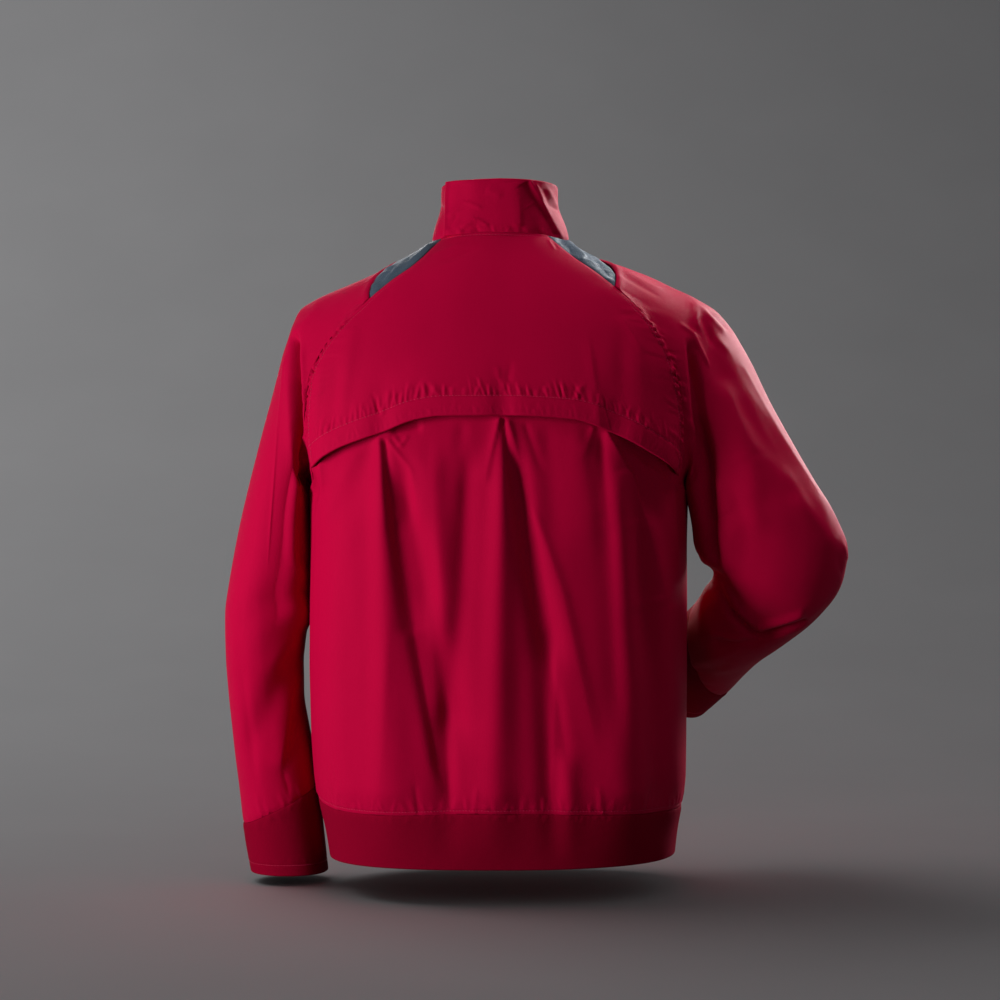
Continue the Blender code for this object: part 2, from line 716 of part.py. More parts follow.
def neck_seam():
    """The yoke's neck edge, from the wearer's right to left."""
    right, left = SEAMS["right"].back_tail[0], SEAMS["left"].back_tail[0]
    around = np.linspace(right[0], left[0], NECK_CELLS + 1)
    end = np.where(around < 0, right[1], left[1])
    limit = np.where(around < 0, right[0], left[0])
    return np.stack([around, end * (around / limit) ** 2], axis=1)


def yoke_lower_edge():
    right, left = SEAMS["right"].back_raglan[-1], SEAMS["left"].back_raglan[-1]
    around = np.linspace(right[0], left[0], NECK_CELLS + 1)
    down = np.empty_like(around)
    for i, place in enumerate(around):
        down[i] = right[1] if place < 0 else left[1]
        for _ in range(6):
            across = body_form(place, down[i])[0][0]
            down[i] = YOKE_EDGE.read("down", across)
    down[0], down[-1] = right[1], left[1]
    return np.stack([around, down], axis=1)


def build_back_yoke():
    sides = [
        np.concatenate([SEAMS[side].back_tail, SEAMS[side].back_raglan[1:]])
        for side in ("right", "left")
    ]
    top, bottom = neck_seam(), yoke_lower_edge()
    rows = np.linspace(0, 1, len(sides[0]))
    grid = coons(top, bottom, sides[0], sides[1], np.linspace(0, 1, NECK_CELLS + 1), rows)
    return make_body_wall("back_yoke", grid, yoke_relief, WOVEN_WALL, "woven")


def vent_edge():
    """The lower back's top edge under the yoke, from right to left between the ends of the yoke."""
    right, left = SEAMS["right"].back_raglan[-1], SEAMS["left"].back_raglan[-1]
    around = np.linspace(right[0], left[0], VENT_CELLS + 1)
    down = np.empty_like(around)
    for i, place in enumerate(around):
        edge = right[1] if place < 0 else left[1]
        for _ in range(6):
            edge = YOKE_EDGE.read("down", body_form(place, edge)[0][0])
        limit = right[0] if place < 0 else left[0]
        inside = abs(limit) - abs(place)
        down[i] = edge - YOKE_OVERLAP * ease((inside - 0.04) / 0.22) + YOKE_CORNER_GAP * ease(inside / 0.04)
    down[0], down[-1] = right[1], left[1]
    return np.stack([around, down], axis=1)


def lower_back_top():
    return np.concatenate(
        [
            SEAMS["right"].back_underarm[::-1][:-1],
            vent_edge(),
            SEAMS["left"].back_underarm[1:],
        ]
    )


def hem_places(top):
    """The hem seam under a top edge, with its steps in the same proportions."""
    shares = length_shares(body_form(top[:, 0], top[:, 1])[0])
    around = top[0, 0] + (top[-1, 0] - top[0, 0]) * shares
    return np.stack([around, HEM_SEAM.read("down", around)], axis=1), shares


def build_back_lower():
    top = lower_back_top()
    bottom, shares = hem_places(top)
    grid = coons(top, bottom, side_seam(-1.0), side_seam(1.0), shares, ROW_SHARES)
    return make_body_wall("back_lower", grid, lower_back_relief, WOVEN_WALL, "woven")


def front_top(side):
    """A front's neck and raglan edge, from the centre front to the underarm."""
    seams = SEAMS[side]
    return np.concatenate(
        [
            seams.front_neck[::-1],
            seams.front_tail[1:],
            seams.front_raglan[1:],
            seams.front_underarm[1:],
        ]
    )


def front_hem(side):
    top = front_top(side)
    shares = length_shares(body_form(top[:, 0], top[:, 1])[0])
    sign = SEAMS[side].sign
    first, last = centre_front(sign)[-1], side_seam(float(sign))[-1]
    around = first[0] + (last[0] - first[0]) * shares
    return np.stack([around, HEM_SEAM.read("down", around)], axis=1), shares


def build_front(side):
    sign = SEAMS[side].sign
    bottom, shares = front_hem(side)
    grid = coons(
        front_top(side), bottom, centre_front(sign), side_seam(float(sign)), shares, ROW_SHARES
    )
    return make_body_wall(f"front_{side}", grid, front_relief, WOVEN_WALL, "woven")


INSERT_CELLS = 3
INSERT_TIP = 0.10  # share of the width that a tail keeps at its end


def build_insert(side):
    seams = SEAMS[side]
    inner = np.concatenate(
        [seams.back_tail[::-1], seams.shoulder_neck[1:], seams.front_tail[1:]]
    )
    outer = seams.crown
    shares = np.linspace(0, 1, INSERT_CELLS + 1)[:, None, None]
    grid = inner[None] * (1 - shares) + outer[None] * shares
    around, down = grid[..., 0], grid[..., 1]
    points = on_body(around, down, plain_relief)
    normals = body_normals(around, down, plain_relief)
    # Each tail ends just short of its point, so that the wall has some width there.
    for end, before in ((0, 1), (-1, -2)):
        points[:, end] += (points[:, before] - points[:, end]) * INSERT_TIP
    return make_wall(f"insert_{side}", points, normals, WOVEN_WALL, "satin")


# Sleeves and cuffs


def spline_shares(t):
    """Weights of the four rows round a place between the middle two."""
    return (
        -0.5 * t + t**2 - 0.5 * t**3,
        1 - 2.5 * t**2 + 1.5 * t**3,
        0.5 * t + 2 * t**2 - 1.5 * t**3,
        -0.5 * t**2 + 0.5 * t**3,
    )


def read_net(net, row, column):
    """A point of a net of points that is open along its rows and closed round its columns."""
    rows, columns = net.shape[:2]
    low_row = np.clip(np.floor(row).astype(int), 0, rows - 2)
    low_column = np.floor(column).astype(int)
    result = np.zeros(np.broadcast(row, column).shape + (3,))
    for i, row_share in enumerate(spline_shares(row - low_row)):
        at_row = np.clip(low_row + i - 1, 0, rows - 1)
        for j, column_share in enumerate(spline_shares(column - low_column)):
            at_column = np.mod(low_column + j - 1, columns)
            result += (row_share * column_share)[..., None] * net[at_row, at_column]
    return result


class Sleeve:
    """A sleeve's surface, read at places along it and round it."""

    def __init__(self, side):
        self.table = SLEEVES[side]
        self.creases = SLEEVE_CREASES[side]
        self.sign = 1 if side == "left" else -1
        armhole = SEAMS[side].armhole()
        self.loop = on_body(armhole[:, 0], armhole[:, 1], plain_relief)
        self.loop_normals = body_normals(armhole[:, 0], armhole[:, 1], plain_relief)
        self.loop_turns = self.turns_of(self.loop)
        start, _ = self.tube(np.zeros_like(self.loop_turns), self.loop_turns)
        self.loop_shift = self.loop - start
        self.net = self.relaxed(self.draped_net())

    def frame(self, along):
        """Middle, inner-to-outer half width, and the backward direction of sections."""
        read = self.table.read
        outer = np.stack([read("outer_x", along), read("y", along), read("outer_z", along)], axis=-1)
        inner = np.stack([read("inner_x", along), read("y", along), read("inner_z", along)], axis=-1)
        return (outer + inner) / 2, (outer - inner) / 2

    def backward(self, along):
        step = 0.03
        low, high = np.maximum(along - step, 0), np.minimum(along + step, 1)
        axis = unit(self.frame(high)[0] - self.frame(low)[0])
        _, half = self.frame(along)
        back = unit(np.cross(axis, half))
        return back * np.where(back[..., 1:2] < 0, -1, 1)

    def turns_of(self, loop):
        """Share of a turn, from the inner edge by way of the back, of points near the first section."""
        middle, half = self.frame(np.zeros(1))
        back = self.backward(np.zeros(1))[0]
        offset = loop - middle[0]
        half_length = np.linalg.norm(half[0])
        wide = offset @ (half[0] / half_length) / half_length
        deep = offset @ back
        deep = deep / np.where(deep > 0, self.table.read("back", 0.0), self.table.read("front", 0.0))
        turns = np.arctan2(deep, -wide) / (2 * math.pi)
        turns = np.where(turns < -1e-6, turns + 1, turns)
        turns[0] = 0.0
        return np.unwrap(turns, period=1)

    def tube(self, along, turn):
        """The plain tube's points, and its outward directions in the section."""
        middle, half = self.frame(along)
        back = self.backward(along)
        angle = 2 * math.pi * turn
        wide, deep = -np.cos(angle), np.sin(angle)
        depth = np.where(deep > 0, self.table.read("back", along), self.table.read("front", along))
        power = 2 / SLEEVE_POWER
        wide = np.sign(wide) * np.abs(wide) ** power
        deep = np.sign(deep) * np.abs(deep) ** power
        points = middle + half * wide[..., None] + back * (depth * deep)[..., None]
        out = unit(half) * (wide / np.linalg.norm(half, axis=-1))[..., None]
        out = out + back * (deep / depth)[..., None]
        return points, unit(out)

    def crease_height(self, along, turn, girth):
        height = np.zeros(np.broadcast(along, turn).shape)
        for crease in self.creases.each():
            a = np.array([crease["along_a"], crease["turn_a"]])
            b = np.array([crease["along_b"], crease["turn_b"]])
            scale = np.array([SLEEVE_LENGTH, girth])
            run = (b - a) * scale
            for lap in (-1, 0, 1):
                place = np.stack([along, turn + lap], axis=-1)
                offset = (place - a) * scale
                t = (offset @ run) / (run @ run)
                aside = np.linalg.norm(offset - np.clip(t, 0, 1)[..., None] * run, axis=-1)
                ends = ease((t + 0.25) * 2.5) * ease((1.25 - t) * 2.5)
                height += crease["rise"] * ends * np.exp(-((aside / crease["width"]) ** 2))
        return height

    def draped_net(self):
        """Rows of points from the armhole's own loop to the plain tube."""
        along = np.linspace(0, 1, NET_ROWS + 1)[:, None]
        held = self.loop_turns[None]
        spread = ease(along / SPACING_FADE)
        turn = held * (1 - spread) + np.arange(len(self.loop)) / len(self.loop) * spread
        points, _ = self.tube(along * np.ones_like(turn), turn)
        low = (1 + np.cos(2 * math.pi * held)) / 2
        freed = ease(along / (CROWN_FADE + (UNDERARM_FADE - CROWN_FADE) * low**2))
        return points + self.loop_shift * (1 - freed)[..., None]

    def relaxed(self, net):
        """The net with its first rows drawn smooth, but for the armhole and the outer edge."""
        along = np.linspace(0, 1, NET_ROWS + 1)[:, None]
        low = (1 + np.cos(2 * math.pi * self.loop_turns[None])) / 2
        hold = ease((RELAX_END - along) / RELAX_FADE) * ease(low / 0.35)
        hold[0] = 0
        for _ in range(RELAX_PASSES):
            around = (np.roll(net, 1, axis=1) + np.roll(net, -1, axis=1)) / 2
            rows = net.copy()
            rows[1:-1] = (net[:-2] + net[2:]) / 2
            net = net + hold[..., None] * ((around + rows) / 2 - net)
        return net

    def surface(self, along, index):
        """Points at places along, for the armhole's points by index (whole numbers or between)."""
        along, index = np.broadcast_arrays(np.asarray(along, float), np.asarray(index, float))
        points = read_net(self.net, along * NET_ROWS, index)
        ahead = read_net(self.net, np.minimum(along + 0.01, 1) * NET_ROWS, index)
        behind = read_net(self.net, np.maximum(along - 0.01, 0) * NET_ROWS, index)
        beside = read_net(self.net, along * NET_ROWS, index + 0.3)
        before = read_net(self.net, along * NET_ROWS, index - 0.3)
        out = self.sign * unit(np.cross(beside - before, ahead - behind))
        count = len(self.loop)
        turns = np.append(self.loop_turns, self.loop_turns[0] + 1)
        held = np.interp(np.mod(index, count), np.arange(count + 1), turns)
        spread = ease(along / SPACING_FADE)
        turn = held * (1 - spread) + np.mod(index, count) / count * spread
        height = ease(along / 0.10) * self.crease_height(along, turn, SLEEVE_GIRTH)
        return points + out * height[..., None]

    def normals(self, along, index):
        step = 0.01
        run = self.surface(np.minimum(along + step, 1), index) - self.surface(
            np.maximum(along - step, 0), index
        )
        around = self.surface(along, index + 0.4) - self.surface(along, index - 0.4)
        return self.sign * unit(np.cross(around, run))


SLEEVE_LENGTH = 0.62
SLEEVE_GIRTH = 0.38


def cuff_start(side, index, count):
    """Where the slanting seam lies at each place round the sleeve."""
    slant = (1 - np.cos(2 * math.pi * index / count)) / 2
    inner, outer = CUFF_INNER_START[side], CUFF_OUTER_START[side]
    return inner + (outer - inner) * slant


def build_sleeve_and_cuff(side):
    sleeve = Sleeve(side)
    count = len(sleeve.loop)
    index = np.arange(count, dtype=float)[None, :]
    seam = cuff_start(side, index, count)
    shares = np.linspace(0, 1, SLEEVE_ROWS + 1)[:, None]
    along = shares * seam
    index = np.broadcast_to(index, along.shape)
    points = sleeve.surface(along, index)
    normals = sleeve.normals(along, index)
    normals[0] = sleeve.loop_normals
    pieces = [make_wall(f"sleeve_{side}", points, normals, WOVEN_WALL, "woven", closed=True)]
    shares = np.linspace(0, 1, CUFF_CELLS + 1)[:, None]
    along = seam + (1 - seam) * shares
    index = np.broadcast_to(index[:1], along.shape)
    points = sleeve.surface(along, index)
    normals = sleeve.normals(along, index)
    pieces.append(make_wall(f"cuff_{side}", points, normals, KNIT_WALL, "knit", closed=True))
    return pieces


# Collar, hem band and zip


def collar_base():
    """The whole neck seam from the right centre front round the back to the left centre front."""
    right, left = SEAMS["right"], SEAMS["left"]
    return np.concatenate(
        [
            right.front_neck[::-1][:-1],
            right.shoulder_neck[::-1][:-1],
            neck_seam()[:-1],
            left.shoulder_neck[:-1],
            left.front_neck,
        ]
    )


def collar_turns():
    """Each column's place round the collar's level rings."""
    right, left = SEAMS["right"], SEAMS["left"]
    end = 2 - ZIP_OPENING / 2 / 0.105
    start = 1.20
    front = np.linspace(start, end, FRONT_NECK_CELLS + 1)
    back = neck_seam()[:, 0]
    return np.concatenate(
        [
            -front[::-1][:-1],
            np.linspace(-start, right.back_tail[0, 0], SHOULDER_CELLS + 1)[:-1],
            back[:-1],
            np.linspace(left.back_tail[0, 0], start, SHOULDER_CELLS + 1)[:-1],
            front,
        ]
    )


def collar_point(turns, height, base_points):
    """Points of the collar at a share of its height."""
    turn = np.abs(turns)
    at_front = turn > 1
    half = COLLAR.read("half", height)
    depth = np.where(at_front, COLLAR.read("front", height), COLLAR.read("back", height))
    half, power = np.broadcast_to(half, depth.shape), np.full(depth.shape, 2.2)
    across, deep = section_point(half, depth, power, np.where(at_front, 2 - turn, turn))
    side = np.where(turns < 0, -1.0, 1.0)
    level = np.stack([side * across, np.where(at_front, -deep, deep)], axis=-1)
    straight = ease((turn - 1) / 0.6)
    joined = (ease(height * 1.4) * (1 - straight) + height * straight)[..., None]
    flat = base_points[..., :2] * (1 - joined) + level * joined
    top = COLLAR_TOP.read("rise", turn)
    rise = base_points[..., 2] + (top - base_points[..., 2]) * height
    return np.concatenate([flat, rise[..., None]], axis=-1)


def collar_grid(shares):
    base = collar_base()
    base_points = on_body(base[:, 0], base[:, 1], plain_relief)
    turns = collar_turns()
    points = np.stack([collar_point(turns, height, base_points) for height in shares])
    # The two front edges run straight up beside the zip.
    points[:, 0, 0], points[:, -1, 0] = -ZIP_OPENING / 2, ZIP_OPENING / 2
    return points


def grid_normals(points, outward):
    across = np.gradient(points, axis=1)
    along = np.gradient(points, axis=0)
    normals = unit(np.cross(along, across))
    return normals * np.where((normals * outward).sum(axis=-1, keepdims=True) < 0, -1, 1)


def build_collar():
    points = collar_grid(np.linspace(0, 1, COLLAR_CELLS + 1))
    outward = points * (1, 1, 0)
    return make_wall("collar", points, grid_normals(points, outward), KNIT_WALL, "woven")


BAND_CELLS = 3


def hem_seam_all():
    """The hem seam from the right centre front round the back to the left centre front."""
    right, left = front_hem("right")[0], front_hem("left")[0]
    back = hem_places(lower_back_top())[0]
    return np.concatenate([right[:-1], back[:-1], left[::-1]])


def build_hem_band():
    top = hem_seam_all()
    bottom = np.stack([top[:, 0], BAND_EDGE.read("down", top[:, 0])], axis=1)
    shares = np.linspace(0, 1, BAND_CELLS + 1)[:, None, None]
    grid = top[None] * (1 - shares) + bottom[None] * shares
    for sign, column in ((-1, 0), (1, -1)):
        downs = grid[:, column, 1]
        grid[:, column, 0] = [around_at(sign * ZIP_OPENING / 2, d, True) for d in downs]
    return make_body_wall("hem_band", grid, band_relief, KNIT_WALL, "knit")


def zip_line():
    """The centre front from the collar's top to the hem's end, as depth and height, on the cloth's face."""
    collar = collar_grid(np.linspace(1, 0, COLLAR_CELLS + 1))[:, -1]
    front = centre_front(1)[1:]
    body = on_body(front[:, 0], front[:, 1], front_relief)
    low = np.linspace(HEM_SEAM.read("down", 2.0), BAND_EDGE.read("down", 2.0), BAND_CELLS + 1)[1:]
    band = np.array([(around_at(ZIP_OPENING / 2, d, True), d) for d in low])
    band = on_body(band[:, 0], band[:, 1], band_relief)
    return np.concatenate([collar, body, band])[:, 1:]


def build_zip_tape():
    line = zip_line()
    along = unit(np.gradient(line, axis=0))
    out = np.stack([along[:, 1], -along[:, 0]], axis=1)
    out *= np.where(out[:, :1] > 0, -1, 1)
    line = line - out * TAPE_SINK
    widths = np.array([-TAPE_HALF, 0, TAPE_HALF])
    points = np.stack(
        [np.column_stack([np.full(len(line), x), line]) for x in widths], axis=1
    )
    normals = np.repeat(np.column_stack([np.zeros(len(out)), out])[:, None], 3, axis=1)
    outer = points.reshape(-1, 3)
    inner = (points - normals * TAPE_WALL).reshape(-1, 3)
    vertices = np.concatenate([outer, inner])
    faces = wall_faces(len(line), 3, False)
    if signed_volume(vertices, faces) < 0:
        faces = [face[::-1] for face in faces]
    return make_object("zip_tape", vertices, faces, "tape")


class SliderPlace:
    """The slider's frame on the zip: its middle on the tape's face, outward and downward."""

    def __init__(self):
        line = zip_line()
        run = np.concatenate([[0], np.cumsum(np.linalg.norm(np.diff(line, axis=0), axis=1))])
        middle = np.array([np.interp(SLIDER_DROP, run, line[:, i]) for i in (0, 1)])
        below = np.array([np.interp(SLIDER_DROP + 0.004, run, line[:, i]) for i in (0, 1)])
        above = np.array([np.interp(SLIDER_DROP - 0.004, run, line[:, i]) for i in (0, 1)])
        fall = unit(below - above)
        out = np.array([fall[1], -fall[0]])
        out = out if out[0] < 0 else -out
        self.fall = np.array([0.0, *fall])
        self.out = np.array([0.0, *out])
        self.middle = np.array([0.0, *middle]) - self.out * TAPE_SINK

    def point(self, across, out, fall):
        return self.middle + np.array([across, 0, 0]) + self.out * out + self.fall * fall


def box_vertices(place, across, out, fall):
    """The eight corners of a box between limits across, outward and downward."""
    return [place.point(x, y, z) for x in across for y in out for z in fall]


BOX_FACES = [(0, 1, 3, 2), (4, 6, 7, 5), (0, 4, 5, 1), (2, 3, 7, 6), (0, 2, 6, 4), (1, 5, 7, 3)]


def make_box(name, place, across, out, fall, finish):
    vertices = np.array(box_vertices(place, across, out, fall))
    faces = [list(face) for face in BOX_FACES]
    if signed_volume(vertices, faces) < 0:
        faces = [face[::-1] for face in faces]
    return make_object(name, vertices, faces, finish)


def join(base, cutter, operation):
    modifier = base.modifiers.new(operation.lower(), "BOOLEAN")
    modifier.operation = operation
    modifier.object = cutter
    modifier.solver = "EXACT"
    cutter.hide_render = True
    cutter.display_type = "WIRE"


def build_slider(place):
    face = SEAM_GAP
    top = face + SLIDER_WALL
    wide = (-SLIDER_HALF_WIDTH, SLIDER_HALF_WIDTH)
    slider = make_box(
        "zip_slider", place, wide, (face, top), (-SLIDER_HALF_HEIGHT, SLIDER_HALF_HEIGHT), "metal"
    )
    bevel = slider.modifiers.new("round", "BEVEL")
    bevel.width = 0.0008
    bevel.segments = 2
    narrow = (-BRIDGE_HALF_WIDTH, BRIDGE_HALF_WIDTH)
    high = top + BRIDGE_WINDOW + BRIDGE_WALL
    reach = BRIDGE_HALF_HEIGHT
    bridge = make_box("bridge", place, narrow, (top - 0.0006, high), (-reach, reach), "metal")
    window = make_box(
        "bridge_window",
        place,
        (-0.003, 0.003),
        (top, high - BRIDGE_WALL),
        (-reach + BRIDGE_WALL, reach - BRIDGE_WALL),
        "metal",
    )
    join(bridge, window, "DIFFERENCE")
    join(slider, bridge, "UNION")
    return slider


def pull_axis(place):
    """The middle of the pull's bar, in the window under the bridge."""
    return place.point(0, SEAM_GAP + SLIDER_WALL + BRIDGE_WINDOW / 2, 0)


def rounded_outline(half_width, top, bottom, radius, steps=4):
    """Corner-rounded rectangle in across and fall, anticlockwise."""
    corners = (
        (half_width - radius, bottom - radius, 0),
        (-half_width + radius, bottom - radius, 1),
        (-half_width + radius, top + radius, 2),
        (half_width - radius, top + radius, 3),
    )
    outline = []
    for across, fall, quarter in corners:
        for step in range(steps + 1):
            angle = (quarter + step / steps) * math.pi / 2
            outline.append((across + radius * math.cos(angle), fall + radius * math.sin(angle)))
    return outline


def build_pull(place):
    axis = pull_axis(place)
    half = PULL_BAR / 2
    outer = rounded_outline(PULL_HALF_WIDTH, -half, PULL_LENGTH, 0.0011)
    inner = rounded_outline(PULL_WINDOW_HALF, half, half + PULL_WINDOW_LENGTH, 0.0005)
    vertices = [
        axis + np.array([across, 0, 0]) + place.fall * fall + place.out * depth
        for depth in (half, -half)
        for loop in (outer, inner)
        for across, fall in loop
    ]
    count = len(outer)
    faces = []
    for i in range(count):
        j = (i + 1) % count
        faces.append([i, j, count + j, count + i])
        faces.append([2 * count + j, 2 * count + i, 3 * count + i, 3 * count + j])
        faces.append([j, i, 2 * count + i, 2 * count + j])
        faces.append([count + i, count + j, 3 * count + j, 3 * count + i])
    vertices = np.array(vertices)
    if signed_volume(vertices, faces) < 0:
        faces = [face[::-1] for face in faces]
    pull = make_object("zip_pull", vertices - axis, faces, "metal")
    pull.location = axis
    return pull


def main():
    clear_scene()
    build_back_yoke()
    build_back_lower()
    for side in SIDES:
        build_front(side)
        build_insert(side)
        build_sleeve_and_cuff(side)
    build_collar()
    build_hem_band()
    build_zip_tape()
    place = SliderPlace()
    build_slider(place)
    build_pull(place)


main()
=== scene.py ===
"""Looks of a zip-front windbreaker, seen from behind: cloth, creases, seams, stitching and zip.

Metres. +Z is up the wearer's spine, -Y out of the zip front and +X to the wearer's left. The
origin is the middle of the neck opening, level with the back neck seam. The first half repeats
the garment's form and seams; the second half drapes, sews and finishes the pieces on them.
"""

import math

import bpy
import numpy as np
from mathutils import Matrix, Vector


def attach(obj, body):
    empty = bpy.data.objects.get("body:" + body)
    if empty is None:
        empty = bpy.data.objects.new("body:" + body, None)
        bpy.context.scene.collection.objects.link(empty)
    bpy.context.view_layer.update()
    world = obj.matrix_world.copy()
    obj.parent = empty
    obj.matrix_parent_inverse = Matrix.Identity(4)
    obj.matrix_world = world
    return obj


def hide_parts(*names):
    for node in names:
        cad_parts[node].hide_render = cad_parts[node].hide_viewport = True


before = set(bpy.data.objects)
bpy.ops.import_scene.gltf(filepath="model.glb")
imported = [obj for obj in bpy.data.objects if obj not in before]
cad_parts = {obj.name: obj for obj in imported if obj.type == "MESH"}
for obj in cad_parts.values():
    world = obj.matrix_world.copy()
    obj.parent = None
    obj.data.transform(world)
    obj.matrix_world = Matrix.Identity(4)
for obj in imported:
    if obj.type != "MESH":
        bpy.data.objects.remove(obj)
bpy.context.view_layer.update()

# Form and seams of the garment
#
# Places on the body are (around, down): around is 0 at the middle of the back, 1 at the wearer's
# left side and 2 at the middle of the front, negative to the right, and down is metres below the
# back neck seam.

FINE = 8  # steps of a seam here for each step that it has in the solids
SEAM_GAP = 0.0003  # between two pieces that are sewn together
ZIP_OPENING = 0.012  # width that shows between the two front edges
NECK_DROP = 0.064  # centre front neck below the back neck
UNDERARM_DOWN = 0.280
COLLAR_FRONT_TOP = 0.008  # collar's top at the centre front, above the back neck seam
YOKE_OVERLAP = 0.050  # how far the lower back runs up under the yoke
YOKE_FLARE = 0.0065  # how far the yoke's free edge stands off the body's form
YOKE_TUCK = 0.0035  # how far the lower back sinks behind that edge
YOKE_CORNER_GAP = 0.001  # between the two edges where the vent runs out at the raglan seams
NECK_CELLS = 24 * FINE  # yoke's neck edge
TAIL_CELLS = 4 * FINE  # raglan seam beside an insert
RAGLAN_CELLS = 8 * FINE  # raglan seam beside a sleeve
UNDERARM_CELLS = 2 * FINE
SHOULDER_CELLS = 4 * FINE  # insert's neck edge
FRONT_NECK_CELLS = 8 * FINE
VENT_CELLS = 34 * FINE  # lower back's hidden top edge
CROWN_CELLS = 2 * TAIL_CELLS + SHOULDER_CELLS  # insert's sleeve edge


def smooth_read(keys, values, places):
    """Values at the places, on a curve through the rows that never overshoots them."""
    widths = np.diff(keys)
    rises = np.diff(values) / widths
    slopes = np.zeros_like(values)
    slopes[0], slopes[-1] = rises[0], rises[-1]
    for i in range(1, len(keys) - 1):
        if rises[i - 1] * rises[i] > 0:
            before = 2 * widths[i] + widths[i - 1]
            after = widths[i] + 2 * widths[i - 1]
            slopes[i] = (before + after) / (before / rises[i - 1] + after / rises[i])
    places = np.clip(places, keys[0], keys[-1])
    cell = np.clip(np.searchsorted(keys, places) - 1, 0, len(widths) - 1)
    width = widths[cell]
    t = (places - keys[cell]) / width
    return (
        values[cell] * (1 + 2 * t) * (1 - t) ** 2
        + width * slopes[cell] * t * (1 - t) ** 2
        + values[cell + 1] * t * t * (3 - 2 * t)
        + width * slopes[cell + 1] * t * t * (t - 1)
    )


class Table:
    """Rows of sizes under named columns, read anywhere along the first column."""

    def __init__(self, columns, rows):
        self.names = columns.split()
        rows = [row.partition("#")[0].split() for row in rows.strip().splitlines()]
        self.rows = np.array(rows, float)

    def read(self, name, places):
        column = self.rows[:, self.names.index(name)]
        return smooth_read(self.rows[:, 0], column, np.asarray(places, float))

    def each(self):
        return [dict(zip(self.names, row)) for row in self.rows]


BODY = Table("down half back front power middle", """
    0 .0675 .066 .06 2.2 0
    .02 .1 .08 .07 2.3 0
    .05 .158 .1 .085 2.4 0
    .08 .212 .116 .1 2.4 0
    .11 .231 .128 .112 2.5 0
    .15 .237 .14 .124 2.5 0
    .2 .235 .148 .133 2.5 0
    .25 .224 .152 .138 2.6 .001
    .28 .205 .153 .139 2.8 .001
    .4 .2035 .152 .14 2.9 .0015
    .5 .203 .149 .138 2.9 .0015
    .58 .201 .146 .135 2.8 0
    .61 .1965 .141 .13 2.8 -.001
    .64 .1905 .136 .126 2.8 -.002
    .668 .1865 .131 .122 2.8 -.0025
""")
BACK_RAGLAN = {
    "left": Table("way across down", """
        0 .0633 .004
        .4 .0931 .036
        .7 .1139 .052
        1 .1375 .073
        1.2 .168 .103
        1.4 .1895 .132
        1.6 .2015 .165
        1.8 .2036 .21
        2 .199 .253
    """),
    "right": Table("way across down", """
        0 .0513 .002
        .4 .0795 .027
        .7 .1 .042
        1 .121 .06
        1.2 .15 .088
        1.4 .1744 .126
        1.6 .1875 .168
        1.8 .192 .215
        2 .188 .262
    """),
}
FRONT_RAGLAN = Table("way across down", """
    0 .06 .026
    .5 .088 .048
    1 .12 .077
    1.2 .143 .103
    1.4 .162 .137
    1.6 .175 .175
    1.8 .181 .215
    2 .18 .252
""")
FRONT_NECK = Table("way across down", f"""
    0 .06 .026
    .25 .053 .04
    .5 .04 .052
    .75 .0225 .0605
    1 {ZIP_OPENING / 2} {NECK_DROP}
""")
SHOULDER_RIDGE_DOWN = 0.0225  # where an insert's sleeve edge crosses the top of the shoulder
SIDE_NECK_DOWN = 0.004
CROWN_SPREAD, CROWN_FALL = 1.05, 1.85  # how the insert's sleeve edge rounds over the shoulder
YOKE_EDGE = Table("across down", """
    -.19 .262
    -.176 .2507
    -.154 .2364
    -.115 .2161
    -.073 .2022
    -.003 .1986
    .06 .1989
    .082 .2019
    .1235 .2165
    .166 .2322
    .187 .2443
    .201 .253
""")
HEM_SEAM = Table("around down", """
    -2 .612
    -1 .613
    -.5 .611
    0 .608
    .5 .611
    1 .604
    2 .612
""")
BAND_EDGE = Table("around down", """
    -2 .667
    -1 .664
    0 .668
    1 .668
    2 .667
""")
TACKS = Table("across down", """
    .122 .217
    -.003 .199
    -.115 .216
""")
BACK_FOLDS = Table("top_across top_down low_across low_down top_width low_width rise", """
    .122 .215 .112 .66 .01 .026 .0075
    .106 .235 .05 .52 .012 .018 -.008
    .05 .49 .054 .66 .015 .015 -.006
    .073 .225 .06 .43 .012 .015 .0045
    .034 .225 .048 .5 .012 .014 -.0055
    -.003 .199 .006 .66 .009 .022 .008
    -.014 .22 -.048 .44 .008 .015 -.007
    -.046 .42 -.056 .66 .014 .012 -.006
    -.068 .54 -.072 .66 .01 .012 .0035
    -.115 .216 -.132 .66 .012 .032 .008
    -.139 .24 -.172 .66 .011 .018 -.007
    .155 .26 .158 .64 .016 .022 .003
""")
FRONT_FOLDS = Table("top_across top_down low_across low_down top_width low_width rise", """
    .12 .2 .105 .64 .016 .026 .006
    .085 .26 .062 .64 .014 .02 -.006
    .045 .3 .034 .62 .014 .018 .0045
    .15 .27 .146 .64 .014 .018 -.0045
    -.112 .19 -.122 .64 .016 .028 .0065
    -.078 .24 -.078 .64 .014 .02 -.006
    -.04 .32 -.044 .62 .012 .018 .0045
    -.152 .27 -.158 .64 .014 .018 -.005
""")
